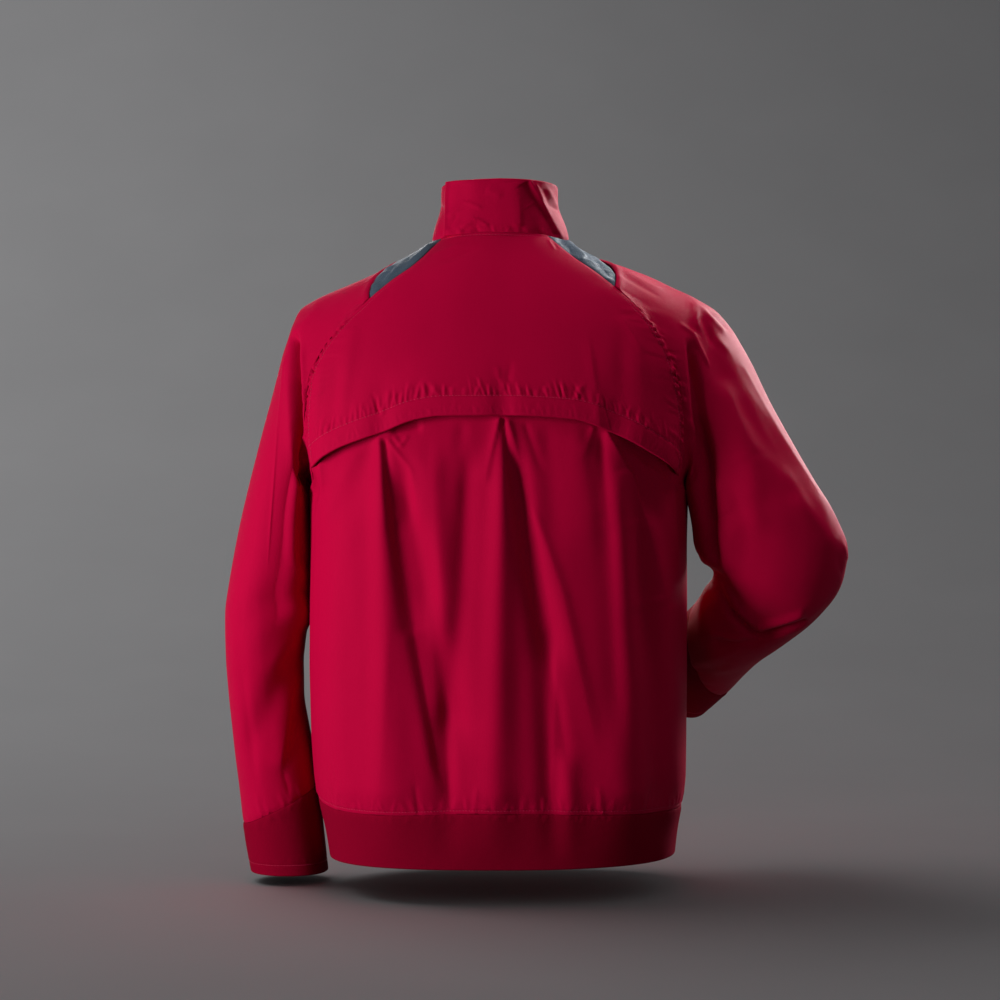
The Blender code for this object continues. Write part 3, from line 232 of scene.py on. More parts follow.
SLEEVES = {
    "left": Table("along outer_x outer_z inner_x inner_z y back front", """
        0 .1 -.0225 .205 -.28 0 .096 .088
        .05 .14 -.0425 .2062 -.287 0 .097 .086
        .1 .179 -.059 .207 -.295 0 .095 .084
        .16 .2165 -.079 .2075 -.304 0 .09 .081
        .23 .2325 -.122 .208 -.316 0 .084 .077
        .3 .2465 -.173 .208 -.33 0 .078 .073
        .37 .26 -.222 .208 -.346 0 .074 .069
        .44 .2725 -.27 .208 -.364 0 .07 .066
        .51 .2835 -.318 .208 -.386 0 .066 .062
        .58 .2925 -.366 .209 -.411 0 .063 .058
        .64 .2985 -.411 .2125 -.438 -.002 .06 .056
        .7 .2985 -.449 .215 -.463 -.006 .057 .054
        .76 .2968 -.49 .2145 -.493 -.011 .054 .052
        .82 .294 -.531 .211 -.524 -.017 .051 .05
        .88 .2905 -.572 .2045 -.56 -.022 .048 .047
        .92 .286 -.611 .1995 -.598 -.027 .046 .045
        .96 .282 -.65 .195 -.641 -.03 .044 .043
        1 .2745 -.693 .1895 -.693 -.031 .042 .041
    """),
    "right": Table("along outer_x outer_z inner_x inner_z y back front", """
        0 -.099 -.02 -.205 -.28 0 .096 .088
        .05 -.145 -.036 -.2072 -.285 0 .102 .086
        .1 -.19 -.056 -.2095 -.291 .003 .102 .083
        .16 -.236 -.081 -.212 -.298 .006 .098 .08
        .23 -.264 -.122 -.2135 -.3055 .012 .089 .075
        .3 -.2875 -.1715 -.215 -.314 .02 .08 .07
        .37 -.3135 -.22 -.216 -.3235 .029 .071 .065
        .43 -.3375 -.265 -.218 -.3335 .037 .066 .058
        .49 -.359 -.303 -.2215 -.3445 .043 .061 .05
        .54 -.3715 -.337 -.2265 -.355 .043 .057 .043
        .59 -.366 -.369 -.2295 -.365 .035 .055 .04
        .64 -.346 -.399 -.229 -.3735 .018 .053 .041
        .7 -.32 -.428 -.2235 -.385 -.01 .051 .043
        .77 -.296 -.454 -.217 -.4 -.047 .049 .045
        .84 -.279 -.4785 -.206 -.416 -.086 .047 .045
        .91 -.262 -.5035 -.1905 -.434 -.123 .045 .044
        1 -.24 -.529 -.167 -.464 -.16 .042 .042
    """),
}
SLEEVE_LENGTH = 0.62
SLEEVE_GIRTH = 0.38
SLEEVE_POWER = 2.15
CROWN_FADE = 0.175
UNDERARM_FADE = 0.20
SPACING_FADE = 0.60
NET_ROWS = 32
RELAX_END, RELAX_FADE, RELAX_PASSES = 0.42, 0.20, 7
CUFF_OUTER_START = {"left": 0.949, "right": 0.900}
CUFF_INNER_START = {"left": 0.918, "right": 0.775}
SLEEVE_CREASES = {
    "left": Table("along_a turn_a along_b turn_b width rise", """
        .22 .17 .44 .12 .016 -.003
        .5 .08 .62 .3 .018 -.0035
        .55 .02 .7 .2 .016 .003
        .68 .1 .86 .34 .018 -.003
        .62 .86 .76 .62 .018 -.004
        .14 .84 .42 .9 .018 -.0045
    """),
    "right": Table("along_a turn_a along_b turn_b width rise", """
        .22 .19 .46 .14 .018 -.003
        .13 .37 .4 .36 .014 -.0035
        .56 .04 .66 .3 .014 -.0065
        .5 .02 .6 .34 .018 .0045
        .66 .02 .78 .3 .018 .005
        .6 .95 .58 .66 .014 -.006
        .15 .84 .44 .88 .018 -.0045
    """),
}
COLLAR = Table("height half back front", """
    0 .0675 .066 .064
    .5 .064 .0645 .066
    1 .063 .063 .07
""")
COLLAR_TOP = Table("around rise", f"""
    0 .057
    .9 .055
    1.4 .033
    2 {COLLAR_FRONT_TOP}
""")
ZIP_STEP = 0.004  # share of the zip's length from one of its points to the next
TAPE_HALF = ZIP_OPENING / 2 - SEAM_GAP
TAPE_SINK = 0.0006
SLIDER_DROP = 0.016  # slider's middle below the collar's top


def ease(value):
    value = np.clip(value, 0, 1)
    return value * value * (3 - 2 * value)


def lengths_so_far(points):
    """How long a line is up to each of its points."""
    return np.concatenate([[0], np.cumsum(np.linalg.norm(np.diff(points, axis=0), axis=1))])


def length_shares(points):
    so_far = lengths_so_far(points)
    return so_far / so_far[-1]


def at_shares(line, shares, keys=None):
    """A line read at shares of its count of points, or of the keys given for them."""
    keys = np.linspace(0, 1, len(line)) if keys is None else keys
    return np.stack([np.interp(shares, keys, values) for values in line.T], axis=1)


def joined(*lines):
    """One line from lines that each begin where the one before ends."""
    return np.concatenate([line[:-1] for line in lines[:-1]] + [lines[-1]])


ARC_STEPS = 96
ARC_TURNS = np.linspace(0, math.pi / 2, ARC_STEPS + 1)


def quarter_arcs(half, depth, power):
    """Each section's quarter from centre to side, with the share of its length so far."""
    half, depth, power = (np.asarray(v, float)[..., None] for v in (half, depth, power))
    reach = (np.sin(ARC_TURNS) / half) ** power + (np.cos(ARC_TURNS) / depth) ** power
    reach = reach ** (-1 / power)
    across, deep = reach * np.sin(ARC_TURNS), reach * np.cos(ARC_TURNS)
    steps = np.hypot(np.diff(across), np.diff(deep))
    so_far = np.concatenate([np.zeros_like(steps[..., :1]), np.cumsum(steps, axis=-1)], axis=-1)
    return across, deep, so_far / so_far[..., -1:]


def section_point(half, depth, power, share):
    across, deep, so_far = quarter_arcs(half, depth, power)
    cell = np.clip((so_far < share[..., None]).sum(axis=-1) - 1, 0, ARC_STEPS - 1)[..., None]

    def pick(values, step=0):
        return np.take_along_axis(values, cell + step, axis=-1)[..., 0]

    before = pick(so_far)
    t = (share - before) / (pick(so_far, 1) - before)
    return (
        pick(across) * (1 - t) + pick(across, 1) * t,
        pick(deep) * (1 - t) + pick(deep, 1) * t,
    )


def body_form(around, down):
    """Points of the body's smooth form, and its level outward direction at each."""
    around, down = np.broadcast_arrays(np.asarray(around, float), np.asarray(down, float))
    turn = np.abs(around)
    at_front = turn > 1
    half, power = BODY.read("half", down), BODY.read("power", down)
    depth = np.where(at_front, BODY.read("front", down), BODY.read("back", down))
    across, deep = section_point(half, depth, power, np.where(at_front, 2 - turn, turn))
    facing = np.where(at_front, -1.0, 1.0)
    side = np.where(around < 0, -1.0, 1.0)
    points = np.stack([BODY.read("middle", down) + side * across, facing * deep, -down], axis=-1)
    out = np.stack(
        [
            side * (across / half) ** (power - 1) / half,
            facing * (deep / depth) ** (power - 1) / depth,
            np.zeros_like(across),
        ],
        axis=-1,
    )
    return points, out / np.linalg.norm(out, axis=-1, keepdims=True)


def around_at(across, down, front=False):
    """The place round the body of a point seen from behind, or from the front."""
    depth = BODY.read("front" if front else "back", down)
    arcs, _, so_far = quarter_arcs(BODY.read("half", down), depth, BODY.read("power", down))
    offset = across - BODY.read("middle", down)
    share = float(np.interp(abs(offset), arcs, so_far))
    turn = 2 - share if front else share
    return math.copysign(turn, across)


def fold_height(folds, points):
    """How far the long folds raise the cloth at the points."""
    height = np.zeros(points.shape[:-1])
    across, down = points[..., 0], -points[..., 2]
    for fold in folds.each():
        t = (down - fold["top_down"]) / (fold["low_down"] - fold["top_down"])
        middle = fold["top_across"] + (fold["low_across"] - fold["top_across"]) * t
        inside = np.clip(t, 0, 1)
        width = fold["top_width"] + (fold["low_width"] - fold["top_width"]) * inside
        grow = ease((t + 0.05) * 4) * ease((1.12 - t) * 5)
        height += fold["rise"] * grow * np.exp(-(((across - middle) / width) ** 2))
    return height


def tack_nearness(across):
    near = np.zeros_like(across)
    for tack in TACKS.each():
        near = np.maximum(near, np.exp(-(((across - tack["across"]) / 0.012) ** 2)))
    return near


def yoke_end(around):
    """0 where the yoke ends at the raglan seams and 1 further in."""
    left = around_at(0.1990, 0.253)
    right = -around_at(-0.1880, 0.262)
    limit = np.where(around > 0, left, right)
    return ease((limit - np.abs(around)) / 0.10)


def yoke_relief(around, down, points):
    edge = YOKE_EDGE.read("down", points[..., 0])
    near_edge = ease(1 - (edge - down) / 0.075)
    flare = YOKE_FLARE * (1 - 0.5 * tack_nearness(points[..., 0]))
    return flare * near_edge * yoke_end(around)


def all_folds(around, points):
    """The long folds of the back or the fronts, which end before the side seams and the zip."""
    back = ease((1 - np.abs(around)) / 0.12) * fold_height(BACK_FOLDS, points)
    inner = ease((np.abs(around) - 1) / 0.12) * ease((2 - np.abs(around)) / 0.10)
    return np.where(np.abs(around) < 1, back, inner * fold_height(FRONT_FOLDS, points))


def front_relief(around, down, points):
    return (1 - 0.55 * ease((down - 0.585) / 0.03)) * all_folds(around, points)


def lower_back_relief(around, down, points):
    below = ease((down - YOKE_EDGE.read("down", points[..., 0])) / 0.055)
    tuck = YOKE_TUCK * (1 - 0.75 * tack_nearness(points[..., 0])) * yoke_end(around)
    return below * front_relief(around, down, points) - tuck * (1 - below)


def band_relief(around, down, points):
    """The hem band keeps what is left of the folds above it, and loses it towards its edge."""
    return 0.45 * (1 - ease((down - 0.605) / 0.075)) * all_folds(around, points)


def plain_relief(around, down, points):
    return np.zeros(points.shape[:-1])


def on_body(around, down, relief):
    """Points of the body with a piece's own relief on them."""
    points, out = body_form(around, down)
    return points + out * relief(around, down, points)[..., None]


def unit(vectors):
    return vectors / np.maximum(np.linalg.norm(vectors, axis=-1, keepdims=True), 1e-12)


def seam_on_table(table, start, end, cells, sign, front):
    """Even steps along part of a seam's table."""
    fine = np.linspace(start, end, 81)
    across, down = sign * table.read("across", fine), table.read("down", fine)
    places = np.array([(around_at(a, d, front), d) for a, d in zip(across, down)])
    shares = length_shares(on_body(*places.T, plain_relief))
    return at_shares(places, np.linspace(0, 1, cells + 1), shares)


def underarm_seam(start, sign):
    """From the end of a raglan seam down and round to the underarm point."""
    turns = np.linspace(0, math.pi / 2, UNDERARM_CELLS + 1)
    around = start[0] + (sign - start[0]) * (1 - np.cos(turns))
    down = start[1] + (UNDERARM_DOWN - start[1]) * np.sin(turns)
    return np.stack([around, down], axis=1)


class Seams:
    """The seams of one side of the garment."""

    def __init__(self, side):
        self.sign = 1 if side == "left" else -1
        back = BACK_RAGLAN[side]
        self.back_tail = seam_on_table(back, 0, 1, TAIL_CELLS, self.sign, False)
        self.back_raglan = seam_on_table(back, 1, 2, RAGLAN_CELLS, self.sign, False)
        self.back_underarm = underarm_seam(self.back_raglan[-1], self.sign)
        self.front_tail = seam_on_table(FRONT_RAGLAN, 0, 1, TAIL_CELLS, self.sign, True)
        self.front_raglan = seam_on_table(FRONT_RAGLAN, 1, 2, RAGLAN_CELLS, self.sign, True)
        self.front_underarm = underarm_seam(self.front_raglan[-1], self.sign)
        self.front_neck = seam_on_table(FRONT_NECK, 0, 1, FRONT_NECK_CELLS, self.sign, True)
        self.shoulder_neck = self.over_shoulder(
            self.back_tail[0], self.front_tail[0], SHOULDER_CELLS, SIDE_NECK_DOWN, 1, 2
        )
        self.crown = self.over_shoulder(
            self.back_raglan[0], self.front_raglan[0], CROWN_CELLS, SHOULDER_RIDGE_DOWN,
            CROWN_SPREAD, CROWN_FALL,
        )

    def over_shoulder(self, back, front, cells, ridge_down, spread, fall):
        """An insert's edge from its back end over the shoulder's ridge to its front end."""
        shares = np.linspace(-1, 1, cells + 1)
        end = np.where((shares < 0)[:, None], back, front)
        around = self.sign + (end[:, 0] - self.sign) * np.abs(shares) ** spread
        down = ridge_down + (end[:, 1] - ridge_down) * np.abs(shares) ** fall
        return np.stack([around, down], axis=1)

    def armhole(self):
        """The armhole from the underarm up the back and down the front, but for its last point."""
        back = joined(self.back_underarm[::-1], self.back_raglan[::-1], self.crown)
        return joined(back, self.front_raglan, self.front_underarm)[:-1]


SIDES = ("left", "right")
SEAMS = {side: Seams(side) for side in SIDES}


def side_seam(sign, rows):
    down = UNDERARM_DOWN + (HEM_SEAM.read("down", sign) - UNDERARM_DOWN) * rows
    return np.stack([np.full_like(down, sign), down], axis=1)


def centre_front(sign, rows):
    low = HEM_SEAM.read("down", 2.0)
    downs = NECK_DROP + (low - NECK_DROP) * rows
    return np.array([(around_at(sign * ZIP_OPENING / 2, d, True), d) for d in downs])


def coons(top, bottom, first, last, column_shares, row_shares):
    """A grid of (around, down) between four edges; rows run from top to bottom."""
    u = np.asarray(column_shares)[None, :, None]
    v = np.asarray(row_shares)[:, None, None]
    across = first[:, None] * (1 - u) + last[:, None] * u
    along = top[None] * (1 - v) + bottom[None] * v
    corners = (top[0] * (1 - u) + top[-1] * u) * (1 - v) + (
        bottom[0] * (1 - u) + bottom[-1] * u
    ) * v
    return across + along - corners


def neck_seam():
    """The yoke's neck edge, from the wearer's right to left."""
    right, left = SEAMS["right"].back_tail[0], SEAMS["left"].back_tail[0]
    around = np.linspace(right[0], left[0], NECK_CELLS + 1)
    end = np.where(around < 0, right[1], left[1])
    limit = np.where(around < 0, right[0], left[0])
    return np.stack([around, end * (around / limit) ** 2], axis=1)


def yoke_edge(cells, overlap=0.0, corner_gap=0.0):
    """The yoke's free edge from right to left, or the lower back's edge tucked up behind it."""
    right, left = SEAMS["right"].back_raglan[-1], SEAMS["left"].back_raglan[-1]
    around = np.linspace(right[0], left[0], cells + 1)
    end = np.where((around < 0)[:, None], right, left)
    down = end[:, 1]
    for _ in range(6):
        down = YOKE_EDGE.read("down", body_form(around, down)[0][:, 0])
    inside = np.abs(end[:, 0]) - np.abs(around)
    down = down - overlap * ease((inside - 0.04) / 0.22) + corner_gap * ease(inside / 0.04)
    down[0], down[-1] = right[1], left[1]
    return np.stack([around, down], axis=1)


def lower_back_top():
    vent = yoke_edge(VENT_CELLS, YOKE_OVERLAP, YOKE_CORNER_GAP)
    return joined(SEAMS["right"].back_underarm[::-1], vent, SEAMS["left"].back_underarm)


def hem_places(top, first, last):
    """The hem seam under a top edge, with its steps in the same proportions."""
    shares = length_shares(on_body(*top.T, plain_relief))
    around = first + (last - first) * shares
    return np.stack([around, HEM_SEAM.read("down", around)], axis=1), shares


def back_hem():
    return hem_places(lower_back_top(), -1.0, 1.0)


def front_top(side):
    """A front's neck and raglan edge, from the centre front to the underarm."""
    seams = SEAMS[side]
    return joined(seams.front_neck[::-1], seams.front_tail, seams.front_raglan, seams.front_underarm)


def front_hem(side):
    sign = SEAMS[side].sign
    return hem_places(front_top(side), centre_front(sign, np.ones(1))[0, 0], float(sign))


INSERT_TIP = 0.10  # share of the width that a tail keeps at its end


def spline_shares(t):
    """Weights of the four rows round a place between the middle two."""
    return (
        -0.5 * t + t**2 - 0.5 * t**3,
        1 - 2.5 * t**2 + 1.5 * t**3,
        0.5 * t + 2 * t**2 - 1.5 * t**3,
        -0.5 * t**2 + 0.5 * t**3,
    )


def read_net(net, row, column):
    """A point of a net of points that is open along its rows and closed round its columns."""
    rows, columns = net.shape[:2]
    low_row = np.clip(np.floor(row).astype(int), 0, rows - 2)
    low_column = np.floor(column).astype(int)
    result = np.zeros(np.broadcast(row, column).shape + (3,))
    for i, row_share in enumerate(spline_shares(row - low_row)):
        at_row = np.clip(low_row + i - 1, 0, rows - 1)
        for j, column_share in enumerate(spline_shares(column - low_column)):
            at_column = np.mod(low_column + j - 1, columns)
            result += (row_share * column_share)[..., None] * net[at_row, at_column]
    return result


class Sleeve:
    """A sleeve's surface, read at places along it and round it."""

    def __init__(self, side):
        self.table = SLEEVES[side]
        self.creases = SLEEVE_CREASES[side]
        self.sign = 1 if side == "left" else -1
        armhole = SEAMS[side].armhole()
        self.fine_loop = on_body(*armhole.T, plain_relief)
        self.loop = self.fine_loop[::FINE]
        self.loop_turns = self.turns_of(self.loop)
        self.lowness = (1 + np.cos(2 * math.pi * self.loop_turns[None])) / 2
        start, _ = self.tube(np.zeros_like(self.loop_turns), self.loop_turns)
        self.loop_shift = self.loop - start
        self.net = self.relaxed(self.draped_net())

    def frame(self, along):
        """Middle and inner-to-outer half width of sections."""
        columns = ("outer_x", "y", "outer_z"), ("inner_x", "y", "inner_z")
        outer, inner = (
            np.stack([self.table.read(name, along) for name in names], axis=-1) for names in columns
        )
        return (outer + inner) / 2, (outer - inner) / 2

    def backward(self, along):
        step = 0.03
        low, high = np.maximum(along - step, 0), np.minimum(along + step, 1)
        axis = unit(self.frame(high)[0] - self.frame(low)[0])
        _, half = self.frame(along)
        back = unit(np.cross(axis, half))
        return back * np.where(back[..., 1:2] < 0, -1, 1)

    def turns_of(self, loop):
        """Shares of a turn, from the inner edge by way of the back, of points near the start."""
        middle, half = self.frame(np.zeros(1))
        back = self.backward(np.zeros(1))[0]
        offset = loop - middle[0]
        half_length = np.linalg.norm(half[0])
        wide = offset @ (half[0] / half_length) / half_length
        deep = offset @ back
        back_depth, front_depth = (self.table.read(name, 0.0) for name in ("back", "front"))
        deep = deep / np.where(deep > 0, back_depth, front_depth)
        turns = np.arctan2(deep, -wide) / (2 * math.pi)
        turns = np.where(turns < -1e-6, turns + 1, turns)
        turns[0] = 0.0
        return np.unwrap(turns, period=1)

    def tube(self, along, turn):
        """The plain tube's points, and its outward directions in the section."""
        middle, half = self.frame(along)
        back = self.backward(along)
        angle = 2 * math.pi * turn
        wide, deep = -np.cos(angle), np.sin(angle)
        depth = np.where(deep > 0, self.table.read("back", along), self.table.read("front", along))
        power = 2 / SLEEVE_POWER
        wide = np.sign(wide) * np.abs(wide) ** power
        deep = np.sign(deep) * np.abs(deep) ** power
        points = middle + half * wide[..., None] + back * (depth * deep)[..., None]
        out = unit(half) * (wide / np.linalg.norm(half, axis=-1))[..., None]
        out = out + back * (deep / depth)[..., None]
        return points, unit(out)

    @staticmethod
    def turn_at(along, held, even):
        """Turns that start as the armhole's points are spaced and end evenly spaced."""
        spread = ease(along / SPACING_FADE)
        return held * (1 - spread) + even * spread

    def crease_height(self, along, turn):
        height = np.zeros(np.broadcast(along, turn).shape)
        for crease in self.creases.each():
            a = np.array([crease["along_a"], crease["turn_a"]])
            b = np.array([crease["along_b"], crease["turn_b"]])
            scale = np.array([SLEEVE_LENGTH, SLEEVE_GIRTH])
            run = (b - a) * scale
            for lap in (-1, 0, 1):
                place = np.stack([along, turn + lap], axis=-1)
                offset = (place - a) * scale
                t = (offset @ run) / (run @ run)
                aside = np.linalg.norm(offset - np.clip(t, 0, 1)[..., None] * run, axis=-1)
                ends = ease((t + 0.25) * 2.5) * ease((1.25 - t) * 2.5)
                height += crease["rise"] * ends * np.exp(-((aside / crease["width"]) ** 2))
        return height

    def draped_net(self):
        """Rows of points from the armhole's own loop to the plain tube."""
        along = np.linspace(0, 1, NET_ROWS + 1)[:, None]
        even = np.arange(len(self.loop)) / len(self.loop)
        turn = self.turn_at(along, self.loop_turns[None], even)
        points, _ = self.tube(along * np.ones_like(turn), turn)
        freed = ease(along / (CROWN_FADE + (UNDERARM_FADE - CROWN_FADE) * self.lowness**2))
        return points + self.loop_shift * (1 - freed)[..., None]

    def relaxed(self, net):
        """The net with its first rows drawn smooth, but for the armhole and the outer edge."""
        along = np.linspace(0, 1, NET_ROWS + 1)[:, None]
        hold = ease((RELAX_END - along) / RELAX_FADE) * ease(self.lowness / 0.35)
        hold[0] = 0
        for _ in range(RELAX_PASSES):
            around = (np.roll(net, 1, axis=1) + np.roll(net, -1, axis=1)) / 2
            rows = net.copy()
            rows[1:-1] = (net[:-2] + net[2:]) / 2
            net = net + hold[..., None] * ((around + rows) / 2 - net)
        return net

    def surface(self, along, index):
        """Points at places along, for the armhole's points by index (whole numbers or between)."""
        along, index = np.broadcast_arrays(np.asarray(along, float), np.asarray(index, float))

        def read(further, later):
            return read_net(self.net, np.clip(along + further, 0, 1) * NET_ROWS, index + later)

        points, ahead, behind = read(0, 0), read(0.01, 0), read(-0.01, 0)
        beside, before = read(0, 0.3), read(0, -0.3)
        out = self.sign * unit(np.cross(beside - before, ahead - behind))
        count = len(self.loop)
        turns = np.append(self.loop_turns, self.loop_turns[0] + 1)
        held = np.interp(np.mod(index, count), np.arange(count + 1), turns)
        turn = self.turn_at(along, held, np.mod(index, count) / count)
        height = ease(along / 0.10) * self.crease_height(along, turn)
        return points + out * height[..., None]


def cuff_start(side, index, count):
    """Where the slanting seam lies at each place round the sleeve."""
    slant = (1 - np.cos(2 * math.pi * index / count)) / 2
    inner, outer = CUFF_INNER_START[side], CUFF_OUTER_START[side]
    return inner + (outer - inner) * slant


def neck_seam_all():
    """The whole neck seam from the right centre front round the back to the left centre front."""
    right, left = SEAMS["right"], SEAMS["left"]
    half = joined(right.front_neck[::-1], right.shoulder_neck[::-1], neck_seam())
    return joined(half, left.shoulder_neck, left.front_neck)


def collar_turns():
    """Each column's place round the collar's level rings."""
    back = neck_seam()[:, 0]
    start, end = 1.20, 2 - ZIP_OPENING / 2 / 0.105
    front = np.linspace(start, end, FRONT_NECK_CELLS + 1)
    right, left = (
        np.linspace(side * start, ring_end, SHOULDER_CELLS + 1)
        for side, ring_end in ((-1, back[0]), (1, back[-1]))
    )
    return joined(-front[::-1], right, back, left[::-1], front)


def collar_point(turns, height, base_points):
    """Points of the collar at a share of its height."""
    turn = np.abs(turns)
    at_front = turn > 1
    half = COLLAR.read("half", height)
    depth = np.where(at_front, COLLAR.read("front", height), COLLAR.read("back", height))
    half, power = np.broadcast_to(half, depth.shape), np.full(depth.shape, 2.2)
    across, deep = section_point(half, depth, power, np.where(at_front, 2 - turn, turn))
    side = np.where(turns < 0, -1.0, 1.0)
    level = np.stack([side * across, np.where(at_front, -deep, deep)], axis=-1)
    straight = ease((turn - 1) / 0.6)
    joined = (ease(height * 1.4) * (1 - straight) + height * straight)[..., None]
    flat = base_points[..., :2] * (1 - joined) + level * joined
    top = COLLAR_TOP.read("rise", turn)
    rise = base_points[..., 2] + (top - base_points[..., 2]) * height
    return np.concatenate([flat, rise[..., None]], axis=-1)


def collar_grid(rows, columns):
    """The collar at shares of its height and of the neck seam, from the wearer's right to left."""
    base_points = on_body(*at_shares(neck_seam_all(), columns).T, plain_relief)
    turns = at_shares(collar_turns()[:, None], columns)[:, 0]
    points = np.stack([collar_point(turns, height, base_points) for height in rows])
    # The two front edges run straight up beside the zip.
    points[:, 0, 0], points[:, -1, 0] = -ZIP_OPENING / 2, ZIP_OPENING / 2
    return points


def hem_seam_all():
    """The hem seam from the right centre front round the back to the left centre front."""
    return joined(front_hem("right")[0], back_hem()[0], front_hem("left")[0][::-1])


def zip_line():
    """The centre front from the collar's top to the hem's end, on the cloth's face."""
    collar = collar_grid(np.linspace(1, 0, 25), np.linspace(0, 1, 2))[:, -1]
    front = centre_front(1, np.linspace(0, 1, 91))[1:]
    low = np.linspace(HEM_SEAM.read("down", 2.0), BAND_EDGE.read("down", 2.0), 13)[1:]
    band = np.array([(around_at(ZIP_OPENING / 2, d, True), d) for d in low])
    body = [on_body(*front.T, front_relief), on_body(*band.T, band_relief)]
    line = np.concatenate([collar, *body])[:, 1:]
    return at_shares(line, np.linspace(0, 1, int(1 / ZIP_STEP) + 1), length_shares(line))


# Chance values, the same on every run


CHANCE = np.random.default_rng(7).uniform(-1, 1, (256, 256))


def chance_over(a, b, seed=0):
    """Smooth chance values from about -1 to 1, with one bump for each unit of a and of b."""
    a, b = np.asarray(a, float) + 31.7 * seed, np.asarray(b, float) + 17.3 * seed
    a, b = np.broadcast_arrays(a, b)
    low_a, low_b = np.floor(a).astype(int), np.floor(b).astype(int)
    value = np.zeros(a.shape)
    for i, share_a in enumerate(spline_shares(a - low_a)):
        for j, share_b in enumerate(spline_shares(b - low_b)):
            value += share_a * share_b * CHANCE[(low_a + i - 1) % 256, (low_b + j - 1) % 256]
    return value


# Grids and their seams


def clustered(count, *crowds):
    """Shares from 0 to 1 in count steps, denser near each crowd's (place, reach, times)."""
    fine = np.linspace(0, 1, 4001)
    density = np.ones_like(fine)
    for place, reach, times in crowds:
        density += (times - 1) * np.exp(-(((fine - place) / reach) ** 2))
    so_far = np.concatenate([[0], np.cumsum((density[1:] + density[:-1]) / 2)])
    return np.interp(np.linspace(0, 1, count + 1), so_far / so_far[-1], fine)


def panel_grid(top, bottom, first, last, rows, columns, shares=None):
    """Places between four edges, at rows and columns that are shares of the top's length."""
    steps = np.linspace(0, 1, len(top))
    places = columns if shares is None else np.interp(columns, shares, steps)
    return coons(at_shares(top, places), at_shares(bottom, places), first, last, columns, rows)


SEAM_REACH = 0.060  # how far from a seam its distance matters


class Line:
    """A seam as one panel sees it: how far each point is from it, and the place along it."""

    def __init__(self, points, line):
        steps = lengths_so_far(line)
        even = np.linspace(0, steps[-1], max(int(steps[-1] / 0.002), 8) + 1)
        self.points = at_shares(line, even, steps)
        self.length = steps[-1]
        tangents = unit(np.gradient(self.points, axis=0))
        self.distance = np.full(points.shape[:-1], 9.0)
        self.run = np.zeros(points.shape[:-1])
        flat = points.reshape(-1, 3)
        low, high = self.points.min(axis=0) - SEAM_REACH, self.points.max(axis=0) + SEAM_REACH
        near = np.flatnonzero(((flat > low) & (flat < high)).all(axis=1))
        for start in range(0, len(near), 4000):
            some = near[start : start + 4000]
            gaps = flat[some][:, None] - self.points[None]
            nearest = (gaps**2).sum(axis=-1).argmin(axis=1)
            gap = gaps[np.arange(len(some)), nearest]
            ahead = (gap * tangents[nearest]).sum(axis=-1)
            beside = np.sqrt(np.maximum((gap**2).sum(axis=-1) - ahead**2, 0))
            beyond = (nearest == 0) & (ahead < 0) | (nearest == len(even) - 1) & (ahead > 0)
            beside = np.where(beyond, np.hypot(beside, ahead), beside)
            self.distance.reshape(-1)[some] = beside
            self.run.reshape(-1)[some] = even[nearest] + ahead


def near(distance, width):
    return np.exp(-((distance / width) ** 2))


def seam_valley(line, depth=0.0010, width=0.0022):
    """Cloth turned in at a seam."""
    return -depth * np.exp(-line.distance / width)


def stitched(line, place, depth=0.0005, width=0.0011):
    """Cloth drawn in along a row of stitches at a distance from a seam."""
    return -depth * near(line.distance - place, width)


